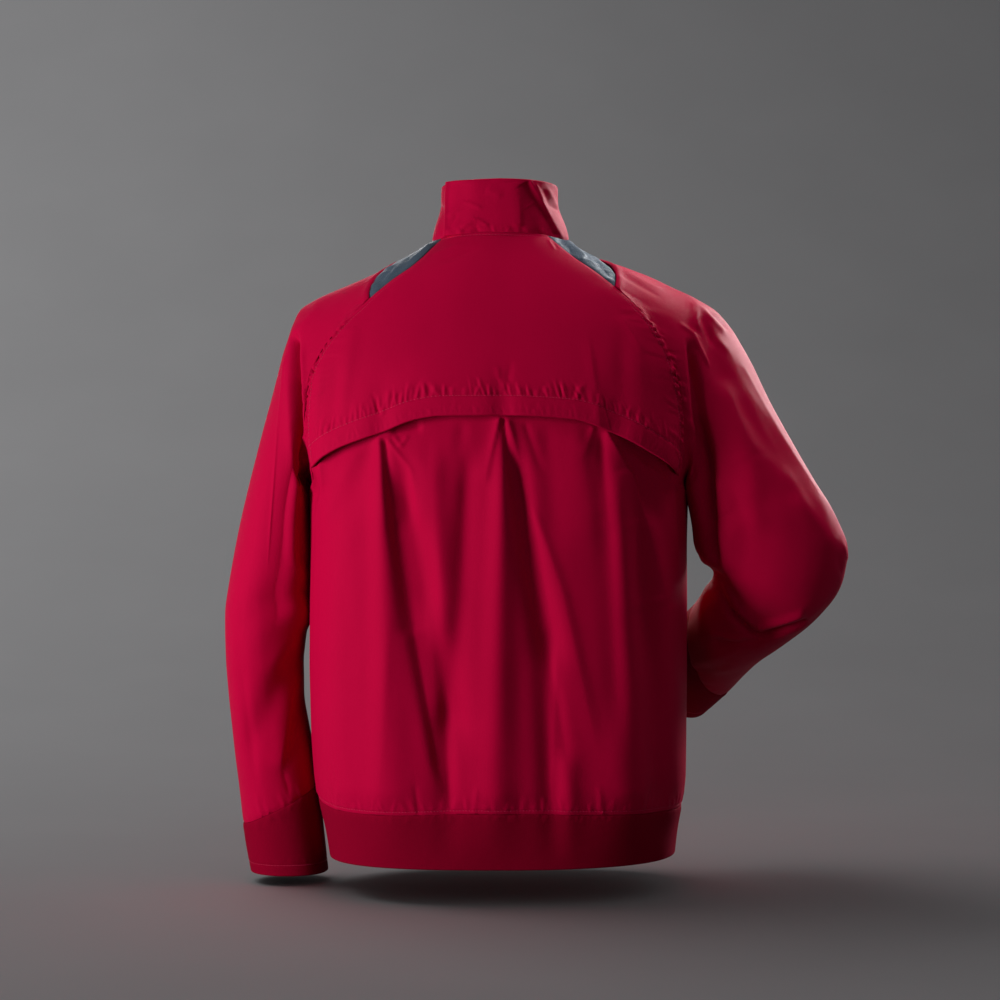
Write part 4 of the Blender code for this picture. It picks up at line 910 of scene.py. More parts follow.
# Rows of small ridges at the seams, in millimetres: first is how far off the seam they begin,
# and start and end are shares of the seam's length.
PUCKER_COLUMNS = "pitch rise reach seed lean_a lean_b width first start end"
PUCKERS = {
    "yoke_hem": Table(PUCKER_COLUMNS, """
        5.2 1.1 22 4 .6 -.6 1.3 21 0 1
        6 .3 18 5 .2 -.2 1.3 2 0 1
    """),
    "yoke_left": Table(PUCKER_COLUMNS, """
        6.6 2.6 8.5 6 -1.2 -.9 1.6 0 .46 .9
        12 .6 26 7 -.9 -.6 2.2 5.5 .46 .9
    """),
    "yoke_right": Table(PUCKER_COLUMNS, """
        6.6 2.6 8.5 6 -1.2 -.9 1.6 0 .42 .98
        12 .6 26 7 -.9 -.6 2.2 5.5 .42 .98
    """),
    "back_hem": Table(PUCKER_COLUMNS, "9.5 .7 20 14 .1 -.1 1.8 4 0 1"),
    "side_seam": Table(PUCKER_COLUMNS, "18 .5 22 15 .3 .3 3 0 0 1"),
    "front_hem": Table(PUCKER_COLUMNS, "9.5 .7 20 24 .1 -.1 1.8 4 0 1"),
    "zip_edge": Table(PUCKER_COLUMNS, "11 .6 12 25 .2 -.2 1.8 5 0 1"),
    "front_raglan": Table(PUCKER_COLUMNS, """
        7 2 8.5 26 -1.1 -1 1.6 0 .58 .95
        13 .6 26 27 -.8 -.8 2.2 5.5 .58 .95
    """),
    "insert_left": Table(PUCKER_COLUMNS, "20 1.4 24 35 -.4 .4 3.4 0 0 1"),
    "insert_right": Table(PUCKER_COLUMNS, "20 1.4 24 33 -.4 .4 3.4 0 0 1"),
    "sleeve_raglan": Table(PUCKER_COLUMNS, """
        6.6 1.4 8 44 -.7 -.7 1.7 0 .1 .85
        24 .7 34 45 -.6 -.6 3.5 0 0 1
    """),
    "sleeve_end": Table(PUCKER_COLUMNS, "15 .7 22 46 0 0 2.6 0 0 1"),
    "cuff_seam": Table(PUCKER_COLUMNS, "13 .6 16 47 0 0 2.2 0 0 1"),
    "cuff_edge": Table(PUCKER_COLUMNS, "11 .4 10 48 0 0 2 12 0 1"),
    "collar_seam": Table(PUCKER_COLUMNS, "13 .8 14 54 .6 -.6 2.2 0 0 1"),
    "band_seam": Table(PUCKER_COLUMNS, "10 .5 12 64 0 0 1.8 0 0 1"),
}


def puckers(line, seam):
    """Small ridges from a row of stitches outwards, each with its own slant, size and height."""
    height = np.zeros(line.distance.shape)
    for row in PUCKERS[seam].each():
        pitch, rise, reach, width, first = (
            row[name] / 1000 for name in ("pitch", "rise", "reach", "width", "first")
        )
        own = np.random.default_rng(int(row["seed"]))
        close = line.distance < first + reach * 1.2
        away, run = line.distance[close] - first, line.run[close]
        for place in np.arange(pitch / 2, line.length, pitch):
            share = place / line.length
            middle = place + pitch * own.uniform(-0.4, 0.4)
            long = reach * own.uniform(0.35, 1.0)
            slant = row["lean_a"] + (row["lean_b"] - row["lean_a"]) * share + own.normal(0, 0.18)
            wide, tall = width * own.uniform(0.7, 1.6), rise * own.uniform(0.25, 1.0)
            if row["start"] < share < row["end"]:
                t = away / long
                aside = (run - middle - slant * away) / (wide * (1 + 0.7 * np.clip(t, 0, 1)))
                ends = ease(t * 4 + 0.4) * ease((1.1 - t) * 1.6)
                crest, trough = np.exp(-(aside**2)), np.exp(-((aside - 1.5) ** 2))
                height[close] += tall * ends * (crest - 0.6 * trough)
    return height


CREASE_COLUMNS = "across_a down_a across_b down_b width_a width_b skew sharp fade_a fade_b rise"


def crease_height(creases, points, facing):
    """Creases given in the view from behind, where the cloth faces that view."""
    height = np.zeros(points.shape[:-1])
    across, down = points[..., 0] * 1000, points[..., 2] * -1000
    for crease in creases.each():
        a = np.array([crease["across_a"], crease["down_a"]])
        b = np.array([crease["across_b"], crease["down_b"]])
        length = np.linalg.norm(b - a)
        run = (b - a) / length
        dx, dy = across - a[0], down - a[1]
        t = (dx * run[0] + dy * run[1]) / length
        aside = dx * run[1] - dy * run[0]
        inside = np.clip(t, 0, 1)
        width = crease["width_a"] + (crease["width_b"] - crease["width_a"]) * inside
        width = width * np.where(aside > 0, 1 + crease["skew"], 1 - crease["skew"])
        ratio = np.abs(aside) / width
        sharp = crease["sharp"]
        shape = (1 - sharp) * np.exp(-(ratio**2)) + sharp * np.exp(-1.6 * ratio)
        ends = ease(t / crease["fade_a"] + 0.5) * ease((1 - t) / crease["fade_b"] + 0.5)
        height += crease["rise"] * ends * shape
    return height * facing / 1000


def grid_directions(points, closed):
    """Outward directions of a grid's points, from its neighbours."""
    if closed:
        around = (np.roll(points, -1, axis=1) - np.roll(points, 1, axis=1)) / 2
    else:
        around = np.gradient(points, axis=1)
    return unit(np.cross(np.gradient(points, axis=0), around))


class Panel:
    """One piece of cloth on its form, raised here and there and then given its thickness."""

    def __init__(self, name, points, outward, closed=False):
        self.name, self.points, self.closed = name, points, closed
        out = grid_directions(points, closed)
        self.turned = (out * outward).sum() < 0
        self.out = -out if self.turned else out
        self.height = np.zeros(points.shape[:-1])
        self.sewn = np.zeros(points.shape[:-1] + (2,)) + (0.0, 0.06)
        self.behind = ease(self.out[..., 1] * 2.5 + 0.3)
        self.in_front = ease(0.3 - self.out[..., 1] * 2.5)

    def line(self, points):
        return Line(self.points, points)

    def edge(self, place):
        """The seam at its top, bottom, first or last edge."""
        row = {"top": 0, "bottom": -1}
        if place in row:
            points = self.points[row[place]]
            return self.line(np.concatenate([points, points[:1]]) if self.closed else points)
        return self.line(self.points[:, {"first": 0, "last": -1}[place]])

    def sewn_at(self, *lines):
        """Marks seams that draw the cloth in, for the finish's finest puckers."""
        for line in lines:
            nearer = (line.distance < self.sewn[..., 1])[..., None]
            self.sewn = np.where(nearer, np.stack([line.run, line.distance], axis=-1), self.sewn)

    def raised(self):
        return self.points + self.out * self.height[..., None]

    def at_line(self, line, distance, pitch):
        """Places and outward directions of stitches in a row at a distance from a seam."""
        surface = self.raised()
        directions = grid_directions(surface, self.closed) * (-1 if self.turned else 1)
        close = np.abs(line.distance - distance) < 0.004
        order = np.argsort(line.run[close])
        runs, offsets = line.run[close][order], line.distance[close][order] - distance
        flat, directions = surface[close][order], directions[close][order]
        rows = []
        for run in np.arange(int(line.length / pitch) + 1) * pitch:
            some = slice(*np.searchsorted(runs, (run - 0.0035, run + 0.0035)))
            aside, ahead = offsets[some], runs[some] - run
            if len(aside) < 3:
                rows.append(None)
                continue
            weight = 1 / (1e-7 + aside**2 + ahead**2)
            # A weighted plane fit keeps the row straight between the grid's points.
            design = np.stack([np.ones(len(aside)), aside, ahead], axis=1)
            normal = design.T @ (design * weight[:, None]) + np.eye(3) * 1e-3
            place = np.linalg.solve(normal, design.T @ (flat[some] * weight[:, None]))[0]
            rows.append((place, unit((directions[some] * weight[:, None]).sum(axis=0))))
        return rows


# Creases in millimetres, as the view from behind shows them, and similar ones on the fronts


BACK_CREASES = Table(CREASE_COLUMNS, """
    124 221 119 306 3.6 10.3 .4 .5 .08 .5 2.8
    119 224 107 306 2.9 9.3 0 .3 .08 .15 -3
    107 306 88 420 9.3 12.4 0 .1 .11 .12 -5.4
    88 420 61 567 12.4 9.3 -.3 .2 .12 .3 -4.4
    74 234 70 398 8.2 10.3 0 0 .3 .3 -2
    43 234 46 398 9.3 12.4 0 0 .3 .3 2.4
    75 394 63 511 9.3 8.2 .2 .1 .3 .3 1.5
    116 223 91 254 2.1 3.6 0 .6 .1 .2 1.6
    91 254 81 306 3.6 8.2 0 .4 .2 .6 1.6
    147 233 187 306 8.2 12.4 .2 0 .2 .5 1.4
    132 228 161 306 6.2 12.4 0 0 .15 .5 -1.2
    109 219 102 230 2.1 2.5 0 .6 .2 .25 1.5
    102 230 95 219 2.5 2.1 0 .6 .25 .2 1.5
    111 211 83 207 7.2 7.2 0 0 .3 .3 -3.5
    189 245 187 268 2.7 3.1 -.3 .7 .15 .3 1.8
    187 268 197 317 3.1 4.1 -.3 .6 .2 .5 1.4
    195 249 194 285 3.6 5.2 0 .3 .2 .5 -2.2
    0 201 7 230 2.5 4.1 .5 .6 .08 .25 2.4
    7 230 15 265 4.1 8.2 .5 .4 .25 .5 2.2
    -3 202 -13 260 2.7 6.2 0 .35 .08 .2 -3
    -13 260 -23 331 6.2 9.3 0 .2 .2 .6 -2.6
    -8 204 -37 305 2.5 10.3 0 .4 .08 .6 1.8
    -26 207 -42 254 3.1 6.2 0 .3 .15 .5 -1.2
    38 207 48 265 6.2 10.3 0 0 .3 .6 -1.4
    -96 210 -87 236 3.1 7.2 0 .4 .1 .5 1.6
    -110 215 -132 254 3.1 6.2 .5 .6 .1 .2 2.6
    -132 254 -151 306 8.2 14.4 .4 .4 .15 .15 4.4
    -151 306 -171 390 14.4 19.6 .3 .2 .15 .15 6.5
    -171 390 -178 590 19.6 20.6 .1 .1 .08 .3 6.5
    -123 223 -162 306 4.1 8.2 0 .1 .2 .5 -1.6
    -104 221 -110 306 4.1 10.3 0 .2 .2 .15 -2.4
    -110 306 -121 512 12.4 15.5 0 0 .15 .4 -5
    -79 215 -94 326 10.3 16.5 .2 0 .2 .6 2.2
    -48 213 -55 326 9.3 14.4 0 0 .2 .6 -1.6
    -163 245 -178 327 8.2 10.3 .2 0 .2 .6 1.4
    -152 238 -163 306 5.2 8.2 0 .2 .2 .5 -1.6
    -182 268 -187 348 3.1 5.2 .2 .5 .2 .6 1.2
    -127 226 -180 261 4.6 4.6 0 0 .2 .15 -3.2
    -13 260 -23 331 6.2 9.3 0 .1 .2 .15 -.6
    -23 331 -58 444 10.3 14.4 0 .1 .12 .5 -3.2
    -35 295 -63 377 5.2 8.2 .2 .3 .3 .15 1.8
    -63 377 -96 525 8.2 11.3 .2 .2 .08 .5 2
    56 490 52 592 7.2 6.2 0 .5 .4 .25 -2
    48 480 42 597 7.2 8.2 0 .1 .4 .3 1.2
    -47 428 -71 562 6.2 7.2 0 .2 .4 .4 -1.5
    -58 449 -54 593 5.2 6.2 .2 .3 .4 .3 1
    117 430 126 596 9.3 12.4 .3 .1 .5 .3 1.4
    173 348 178 559 10.3 12.4 .1 0 .5 .4 1.2
    158 389 153 577 9.3 10.3 0 0 .5 .4 -1
    -147 431 -163 588 8.2 10.3 .2 .1 .5 .3 1.2
    -173 390 -181 591 7.2 8.2 0 .1 .5 .3 -1.2
    169 587 171 613 3.1 2.7 0 .4 .4 .2 .9
    87 579 84 610 3.3 2.7 0 .4 .4 .2 -.9
    24 582 27 608 3.1 2.7 0 .4 .4 .2 .9
    -102 582 -106 611 3.5 2.9 0 .4 .4 .2 .9
    -155 583 -152 610 3.1 2.7 0 .4 .4 .2 -.9
""")
YOKE_CREASES = Table(CREASE_COLUMNS, """
    -92 124 -103 208 6.2 4.1 .4 .2 .5 .1 1
    -107 184 -114 213 2.1 1.6 0 .4 .35 .15 -.9
    -126 118 -126 223 9.3 9.3 0 0 .5 .2 -1
    -143 123 -150 223 10.3 10.3 .2 0 .5 .2 1.1
    187 150 194 221 6.2 5.2 0 .1 .4 .3 1.4
    169 148 175 212 8.2 6.2 0 0 .5 .3 -1
    114 173 122 198 3.1 2.5 0 .4 .3 .2 1.1
    132 175 124 196 3.1 2.5 0 .3 .3 .2 -.8
    3 149 -2 174 4.1 2.7 0 .3 .5 .2 .9
    -11 146 -6 176 4.1 2.7 0 .3 .5 .2 -.8
    154 106 164 189 10.3 8.2 .2 0 .5 .4 1.2
    70 24 40 14 2.7 3.6 0 .3 .3 .5 .7
    62 34 26 21 3.1 4.1 0 .2 .4 .5 -.7
    -51 8 -57 18 1.9 1.6 0 .5 .3 .4 .8
    -56 8 -61 18 1.9 1.6 0 .5 .3 .4 -.6
    -127 94 -147 128 4.1 5.2 0 .2 .4 .5 .9
    -106 71 -135 98 4.1 4.1 0 .2 .4 .4 -.6
""")
LEFT_SLEEVE_CREASES = Table(CREASE_COLUMNS, """
    220 110 216 154 2.5 3.5 .3 .2 .25 .15 -7
    216 154 212 205 3.5 3.7 .3 .2 .15 .15 -12
    212 205 205 285 3.7 4.1 .3 .2 .12 .5 -11
    218 110 215 148 3.1 4.5 0 .3 .3 .25 -9
    215 148 212 194 4.5 5.2 0 .3 .22 .22 -9.5
    212 194 208 251 5.2 6.2 0 .2 .18 .18 -8
    208 251 204 312 6.2 6.2 .2 .2 .18 .6 -5
    209 125 204 234 3.5 3.1 0 .1 .2 .3 2.6
    228 125 217 253 6.2 7.2 0 .1 .3 .4 2
    227 133 235 211 1.8 1.8 .3 .8 .25 .02 1.4
    235 211 245 336 1.8 1.8 .3 .8 .02 .5 1.2
    224 486 238 574 9.3 7.2 .4 .1 .35 .2 3
    213 488 224 563 7.2 6.2 0 .1 .35 .3 -2
    276 478 266 582 6.2 5.2 0 .1 .4 .3 -1.3
    254 103 271 210 9.3 12.4 .1 0 .4 .5 1.2
    260 381 254 499 12.4 10.3 .2 0 .4 .5 1.4
    279 392 277 488 8.2 8.2 0 0 .4 .4 -1.2
    194 80 213 101 5.2 4.1 0 .2 .4 .3 1.2
    203 71 221 95 5.2 5.2 0 .1 .4 .4 -1
    264 606 258 630 4.1 3.1 0 .3 .4 .2 1
    234 579 228 601 4.1 3.1 0 .3 .4 .2 -1
""")
RIGHT_SLEEVE_CREASES = Table(CREASE_COLUMNS, """
    -204 131 -213 199 3.1 4.7 0 .1 .3 .12 -6
    -213 199 -221 285 4.7 5.2 0 .1 .12 .12 -9
    -221 285 -230 349 5.2 4.1 0 .1 .12 .5 -6.5
    -200 120 -205 183 5.2 7.2 -.4 .2 .22 .1 -8
    -205 183 -215 239 7.2 8.2 -.4 .2 .12 .12 -8.5
    -215 239 -223 305 8.2 8.2 -.4 .2 .1 .1 -7.5
    -223 305 -232 351 8.2 6.2 -.3 .2 .14 .6 -5
    -192 101 -204 108 2.3 2.5 0 .5 .4 .15 1.7
    -204 108 -219 141 2.7 1.9 0 .5 .06 .35 2.4
    -208 73 -210 103 4.1 2.7 0 .3 .4 .25 1.8
    -212 76 -241 106 3.1 2.7 0 .4 .25 .3 1.9
    -225 82 -246 100 3.1 2.7 0 .3 .3 .25 -2.2
    -216 90 -227 120 4.6 4.1 0 .2 .3 .5 -2.2
    -232 114 -245 127 4.1 4.1 0 .2 .4 .5 1.2
    -110 30 -172 61 3.1 3.1 0 .3 .3 .3 1
    -121 42 -167 68 3.1 3.1 0 .2 .3 .4 -.8
    -151 37 -213 70 3.1 3.1 0 .3 .3 .3 1
    -172 39 -228 71 2.5 2.7 0 .3 .3 .3 -.8
    -238 165 -261 239 12.4 14.4 .1 0 .35 .12 3
    -261 239 -266 312 14.4 14.4 .1 0 .12 .5 3
    -277 191 -335 296 7.2 8.2 0 .1 .3 .4 -1.4
    -260 142 -302 218 2.7 2.7 0 .4 .12 .03 1
    -302 218 -339 280 2.7 2.5 0 .4 .03 .4 1
    -311 285 -350 333 10.3 10.3 0 0 .4 .4 1.6
    -232 374 -246 406 5.2 4.1 0 .3 .35 .12 -5
    -246 406 -275 432 4.1 3.5 0 .4 .12 .1 -8
    -275 432 -324 413 3.3 2.3 0 .6 .08 .1 -8
    -240 376 -254 401 6.2 5.2 0 .1 .35 .15 2.6
    -254 401 -277 422 5.2 5.2 0 .1 .15 .12 4
    -277 422 -320 405 5.2 4.1 0 .1 .1 .2 4
    -277 441 -328 418 4.1 3.5 0 .2 .2 .25 1.6
    -227 429 -259 436 4.1 4.1 0 .2 .2 .35 2.4
    -234 440 -281 438 4.1 4.1 0 .3 .2 .3 -2.6
    -212 468 -255 448 5.2 5.2 0 .1 .2 .35 1.4
    -212 479 -250 465 5.2 5.2 0 .1 .2 .35 -1.4
    -363 332 -371 349 3.1 3.1 0 .3 .35 .4 1.2
    -356 345 -363 364 4.1 4.1 0 .2 .35 .4 -1
    -200 285 -204 333 4.1 5.2 0 .2 .3 .5 1.6
""")
COLLAR_CREASES = Table(CREASE_COLUMNS, """
    52 -57 55 4 14.4 14.4 -.75 0 .02 .02 5.4
    51 -56 53 -29 2.9 2.7 .5 .6 .02 .1 2.2
    53 -29 56 4 2.7 2.9 .4 .5 .1 .1 1.8
    38 -52 41 -8 8.2 7.2 0 0 .1 .3 -1.2
    53 -17 35 -32 2.5 2.7 0 .3 .3 .12 .9
    35 -32 20 -25 2.7 2.7 0 .3 .15 .4 .8
    39 -5 26 -14 2.5 2.7 0 .3 .3 .15 1.1
    26 -14 13 -6 2.7 2.3 0 .3 .15 .35 1
    38 -2 18 -1 3.1 3.1 0 .1 .3 .3 -1.3
    51 -4 44 -19 2.3 2.3 0 .3 .3 .4 -.9
    -19 -52 -21 -6 7.2 7.2 .5 .1 .1 .1 1.6
    -28 -53 -39 -33 6.2 6.7 .62 .2 .05 .08 -2.6
    -39 -33 -61 1 7.2 7.2 .62 .2 .05 .1 -2.8
    -31 -55 -44 -34 2.3 2.5 -.2 .6 .1 .06 1.6
    -44 -34 -66 2 2.5 2.5 -.2 .6 .05 .1 1.8
    -38 -52 -46 -35 2.1 2.1 0 .4 .25 .3 1
    -52 -48 -62 -32 2.5 2.5 0 .4 .25 .3 1.1
    -47 -47 -54 -30 2.3 2.3 0 .3 .25 .3 -1
    -56 -30 -64 -28 2.3 2.3 0 .3 .3 .3 -1.2
    -34 -34 -45 -29 1.9 1.9 0 .4 .3 .3 .8
    -52 -19 -61 -6 2.5 2.5 0 .3 .3 .3 -.8
    13 -45 -1 -38 5.2 5.2 0 0 .4 .4 .7
    62 -42 63 -4 4.1 4.1 0 .1 .3 .3 -.8
""")
INSERT_CREASES = Table(CREASE_COLUMNS, """
    -72 5 -91 26 3.3 3.1 .4 .4 .2 .2 2.4
    -86 29 -104 34 2.1 2.1 0 .4 .2 .3 1.3
    -63 6 -78 23 4.1 3.5 0 .2 .3 .3 -1.2
    -100 30 -115 47 3.1 2.5 0 .2 .3 .3 -1
    74 11 96 30 3.7 3.7 0 .3 .3 .3 2
    86 16 108 38 3.7 3.3 0 .3 .3 .3 -1.6
    100 30 120 50 3.3 3.1 0 .3 .3 .3 1.8
    114 39 129 56 3.1 2.7 0 .3 .3 .3 -1.3
""")
FRONT_CREASES = Table(CREASE_COLUMNS, """
    186 300 80 362 5 10 0 .2 .15 .6 -2.8
    188 316 108 402 6 12 0 .1 .15 .6 2.4
    150 236 62 330 8 12 0 0 .4 .5 -1.5
    21 220 26 520 5 10 .2 .2 .4 .5 1.6
    36 300 43 600 8 9 0 0 .4 .4 -1.5
    108 420 119 604 10 12 0 0 .4 .3 -2
    164 360 172 590 7 10 .2 .2 .3 .4 1.8
    118 82 70 150 5 8 0 .1 .4 .5 1.2
    62 586 64 612 3 2.6 0 .4 .4 .2 .9
    138 584 135 610 3.2 2.6 0 .4 .4 .2 -.9
    -188 302 -92 372 5 11 0 .2 .15 .6 -2.6
    -188 322 -124 416 6 12 0 .1 .15 .6 2.2
    -146 222 -70 306 7 12 0 0 .4 .5 -1.7
    -19 260 -25 560 5 9 .2 .2 .4 .5 1.5
    -35 240 -45 480 8 9 0 0 .4 .5 -1.4
    -100 440 -108 606 9 12 0 0 .4 .3 -2.2
    -160 380 -176 600 8 10 .2 .2 .3 .4 1.8
    -126 90 -64 164 6 8 0 .1 .4 .5 1.3
    -52 586 -50 612 3 2.6 0 .4 .4 .2 .9
    -120 584 -124 610 3.2 2.6 0 .4 .4 .2 -.9
""")


# Meshes


def rim_faces(outer, inner, forward):
    """Faces between an outer edge and an inner one that has every other point of it."""
    faces = []
    for k in range(len(inner) - 1):
        a, b, c = outer[2 * k : 2 * k + 3]
        for face in ((a, b, inner[k]), (b, inner[k + 1], inner[k]), (b, c, inner[k + 1])):
            faces.append(face if forward else face[::-1])
    return faces


def shell_faces(rows, columns, closed, turned):
    """Faces of a wall whose inner side has half as many rows and columns."""
    outer = np.arange(rows * columns).reshape(rows, columns)
    half_rows, half_columns = (rows + 1) // 2, columns // 2 if closed else (columns + 1) // 2
    inner = rows * columns + np.arange(half_rows * half_columns).reshape(half_rows, half_columns)
    if closed:
        outer = np.concatenate([outer, outer[:, :1]], axis=1)
        inner = np.concatenate([inner, inner[:, :1]], axis=1)

    def quads(ids):
        corners = ids[:-1, :-1], ids[1:, :-1], ids[1:, 1:], ids[:-1, 1:]
        return np.stack(corners, axis=-1).reshape(-1, 4)

    faces = quads(outer).tolist() + quads(inner)[:, ::-1].tolist()
    faces += rim_faces(outer[0].tolist(), inner[0].tolist(), True)
    faces += rim_faces(outer[-1].tolist(), inner[-1].tolist(), False)
    if not closed:
        faces += rim_faces(outer[:, 0].tolist(), inner[:, 0].tolist(), False)
        faces += rim_faces(outer[:, -1].tolist(), inner[:, -1].tolist(), True)
    return [face[::-1] for face in faces] if turned else faces


def cloth_places(points, closed):
    """Each point's place on the flat cloth in metres, across and down, for the weave to follow."""
    steps = np.linalg.norm(np.diff(points, axis=1), axis=2)
    across = np.concatenate([np.zeros((len(points), 1)), np.cumsum(steps, axis=1)], axis=1)
    if not closed:
        across -= across[:, -1:] / 2
    steps = np.linalg.norm(np.diff(points, axis=0), axis=2)
    down = np.concatenate([np.zeros((1, points.shape[1])), np.cumsum(steps, axis=0)])
    return np.stack([across, down], axis=-1)


def linked(name, data):
    """A new object in the scene."""
    made = bpy.data.objects.new(name, data)
    bpy.context.scene.collection.objects.link(made)
    return made


def mesh_piece(name, vertices, faces, maps, finish):
    """A piece of cloth with flat maps of its weave and its seams."""
    mesh = bpy.data.meshes.new(name)
    mesh.from_pydata(np.asarray(vertices).tolist(), [], faces)
    corners = np.empty(len(mesh.loops), int)
    mesh.loops.foreach_get("vertex_index", corners)
    for label, places in maps.items():
        layer = mesh.uv_layers.new(name=label)
        layer.data.foreach_set("uv", np.asarray(places, np.float32)[corners].ravel())
    mesh.shade_smooth()
    mesh.set_sharp_from_angle(angle=math.radians(70))
    mesh.materials.append(FINISHES[finish])
    return linked(name, mesh)


def draped(panel, wall, finish):
    """The panel as a closed shell of cloth."""
    surface = panel.raised()
    rows, columns = surface.shape[:2]
    gap = SEAM_GAP / 2
    inward = surface.copy()
    inward[0] += unit(surface[1] - surface[0]) * gap
    inward[-1] += unit(surface[-2] - surface[-1]) * gap
    if not panel.closed:
        inward[:, 0] += unit(surface[:, 1] - surface[:, 0]) * gap
        inward[:, -1] += unit(surface[:, -2] - surface[:, -1]) * gap
    inner = (inward - panel.out * wall)[::2, ::2].reshape(-1, 3)
    vertices = np.concatenate([inward.reshape(-1, 3), inner])
    maps = {"cloth": cloth_places(panel.points, panel.closed), "sewn": panel.sewn}
    for label, places in maps.items():
        maps[label] = np.concatenate([places.reshape(-1, 2), places[::2, ::2].reshape(-1, 2)])
    faces = shell_faces(rows, columns, panel.closed, panel.turned)
    return mesh_piece(panel.name + "_cloth", vertices, faces, maps, finish)


# Finishes


def add_node(tree, kind, settings=(), sockets=()):
    """A node whose settings are made first, and then its sockets' values and links."""
    made = tree.nodes.new(kind)
    for name, value in dict(settings).items():
        setattr(made, name, value)
    for socket, value in dict(sockets).items():
        if isinstance(value, bpy.types.NodeSocket):
            tree.links.new(value, made.inputs[socket])
        else:
            made.inputs[socket].default_value = value
    return made


class Socket:
    """A shader socket that numbers can be reckoned with."""

    def __init__(self, finish, link):
        self.finish, self.link = finish, link

    def maths(self, operation, *values):
        return self.finish.node("ShaderNodeMath", {"operation": operation}, dict(enumerate(values)))

    def sine(self):
        return self.maths("SINE", self)

    def __add__(self, other):
        return self.maths("ADD", self, other)

    def __sub__(self, other):
        return self.maths("SUBTRACT", self, other)

    def __mul__(self, other):
        return self.maths("MULTIPLY", self, other)

    def __rsub__(self, other):
        return self.maths("SUBTRACT", other, self)

    __radd__, __rmul__ = __add__, __mul__


class Finish:
    """A material's nodes."""

    def __init__(self, name, **constants):
        self.material = bpy.data.materials.new(name)
        self.material.use_nodes = True
        self.tree = self.material.node_tree
        self.shader = self.tree.nodes["Principled BSDF"]
        for socket, value in constants.items():
            self.shader.inputs[socket.replace("_", " ")].default_value = value

    def node(self, kind, settings, sockets, output=0):
        sockets = {name: getattr(value, "link", value) for name, value in sockets.items()}
        return Socket(self, add_node(self.tree, kind, settings, sockets).outputs[output])

    def feed(self, name, value):
        self.tree.links.new(value.link, self.shader.inputs[name])

    def object_place(self):
        return self.node("ShaderNodeTexCoord", {}, {}, output=3)

    def parts(self, place):
        """The first two parts of a place."""
        parts = self.node("ShaderNodeSeparateXYZ", {}, {0: place})
        return parts, Socket(self, parts.link.node.outputs[1])

    def wave(self, value, pitch):
        """1 at the crests and 0 in the troughs, a pitch apart."""
        return (value * (2 * math.pi / pitch)).sine() * 0.5 + 0.5

    def chance(self, place, size, stretch=(1.0, 1.0, 1.0), detail=3.0):
        """Smooth chance from 0 to 1 with bumps about a size apart, stretched along the axes."""
        scale = tuple(1 / (size * s) for s in stretch)
        moved = self.node("ShaderNodeMapping", {}, {"Vector": place, "Scale": scale})
        return self.node("ShaderNodeTexNoise", {}, {"Vector": moved, "Scale": 1.0, "Detail": detail})

    def blend(self, share, low, high):
        """A colour from low to high; the share is kept within 0 and 1."""
        sockets = {0: share, 6: (*low, 1.0), 7: (*high, 1.0)}
        return self.node("ShaderNodeMix", {"data_type": "RGBA"}, sockets, output=2)

    def raise_surface(self, height, distance, strength):
        sockets = {"Strength": strength, "Distance": distance, "Height": height}
        self.feed("Normal", self.node("ShaderNodeBump", {}, sockets))


def shaded_cloth(name, low, high, tint, pitch, ribs, roughness, shine, sheen):
    """Cloth of two shades, its threads a pitch apart; ribs is how far the upright ones stand out."""
    finish = Finish(
        name, Specular_IOR_Level=shine, Specular_Tint=tint, IOR=1.28,
        Sheen_Weight=sheen, Sheen_Roughness=0.40, Sheen_Tint=tint,
    )
    place = finish.node("ShaderNodeUVMap", {"uv_map": "cloth"}, {})
    across, down = finish.parts(place)
    weft, warp = finish.wave(down, pitch), finish.wave(across, pitch)
    cross = finish.wave(across, 2 * pitch) * 2 - 1
    over = cross * (finish.wave(down, 2 * pitch) * 2 - 1) * 0.5 + 0.5
    threads = warp * (over * (1 - ribs) + ribs) + weft * (1 - over) * (1 - ribs)
    slubs = finish.chance(place, 0.004, (0.25, 6.0, 1.0))
    grain = finish.chance(place, 0.0016, detail=2.0)
    broad = finish.chance(finish.object_place(), 0.11, detail=2.0)
    share = broad * 0.45 + slubs * 0.35 + grain * 0.65 + threads * 0.12 - 0.30
    finish.feed("Base Color", finish.blend(share, low, high))
    finish.feed("Roughness", broad * 0.10 + grain * 0.06 + (roughness - 0.08))
    seam_place = finish.node("ShaderNodeUVMap", {"uv_map": "sewn"}, {})
    nearness = 1 - finish.parts(seam_place)[1] * 60
    drawn_in = nearness.maths("MAXIMUM", nearness, 0.0)
    ripples = finish.chance(seam_place, 0.0030, (1.0, 3.5, 1.0), detail=1.5) * drawn_in
    finish.raise_surface(threads * 0.6 + grain * 0.5 + slubs * 0.3 + ripples * 1.8, 0.00022, 0.6)
    return finish.material


def metal_finish():
    finish = Finish("metal_finish", Metallic=1.0)
    place = finish.object_place()
    scratches = finish.chance(place, 0.0012, (0.12, 1.0, 3.0))
    worn = finish.chance(place, 0.004)
    finish.feed("Base Color", finish.blend(worn, (0.26, 0.26, 0.27), (0.50, 0.50, 0.51)))
    finish.feed("Roughness", scratches * 0.25 + worn * 0.15 + 0.16)
    finish.raise_surface(scratches, 0.00005, 0.3)
    return finish.material


def thread_finish(name, low, high):
    finish = Finish(name, Specular_Tint=(1.0, 0.25, 0.40, 1.0))
    strands = finish.chance(finish.object_place(), 0.0005)
    finish.feed("Base Color", finish.blend(strands, low, high))
    finish.feed("Roughness", strands * 0.2 + 0.45)
    finish.raise_surface(strands, 0.0001, 0.5)
    return finish.material


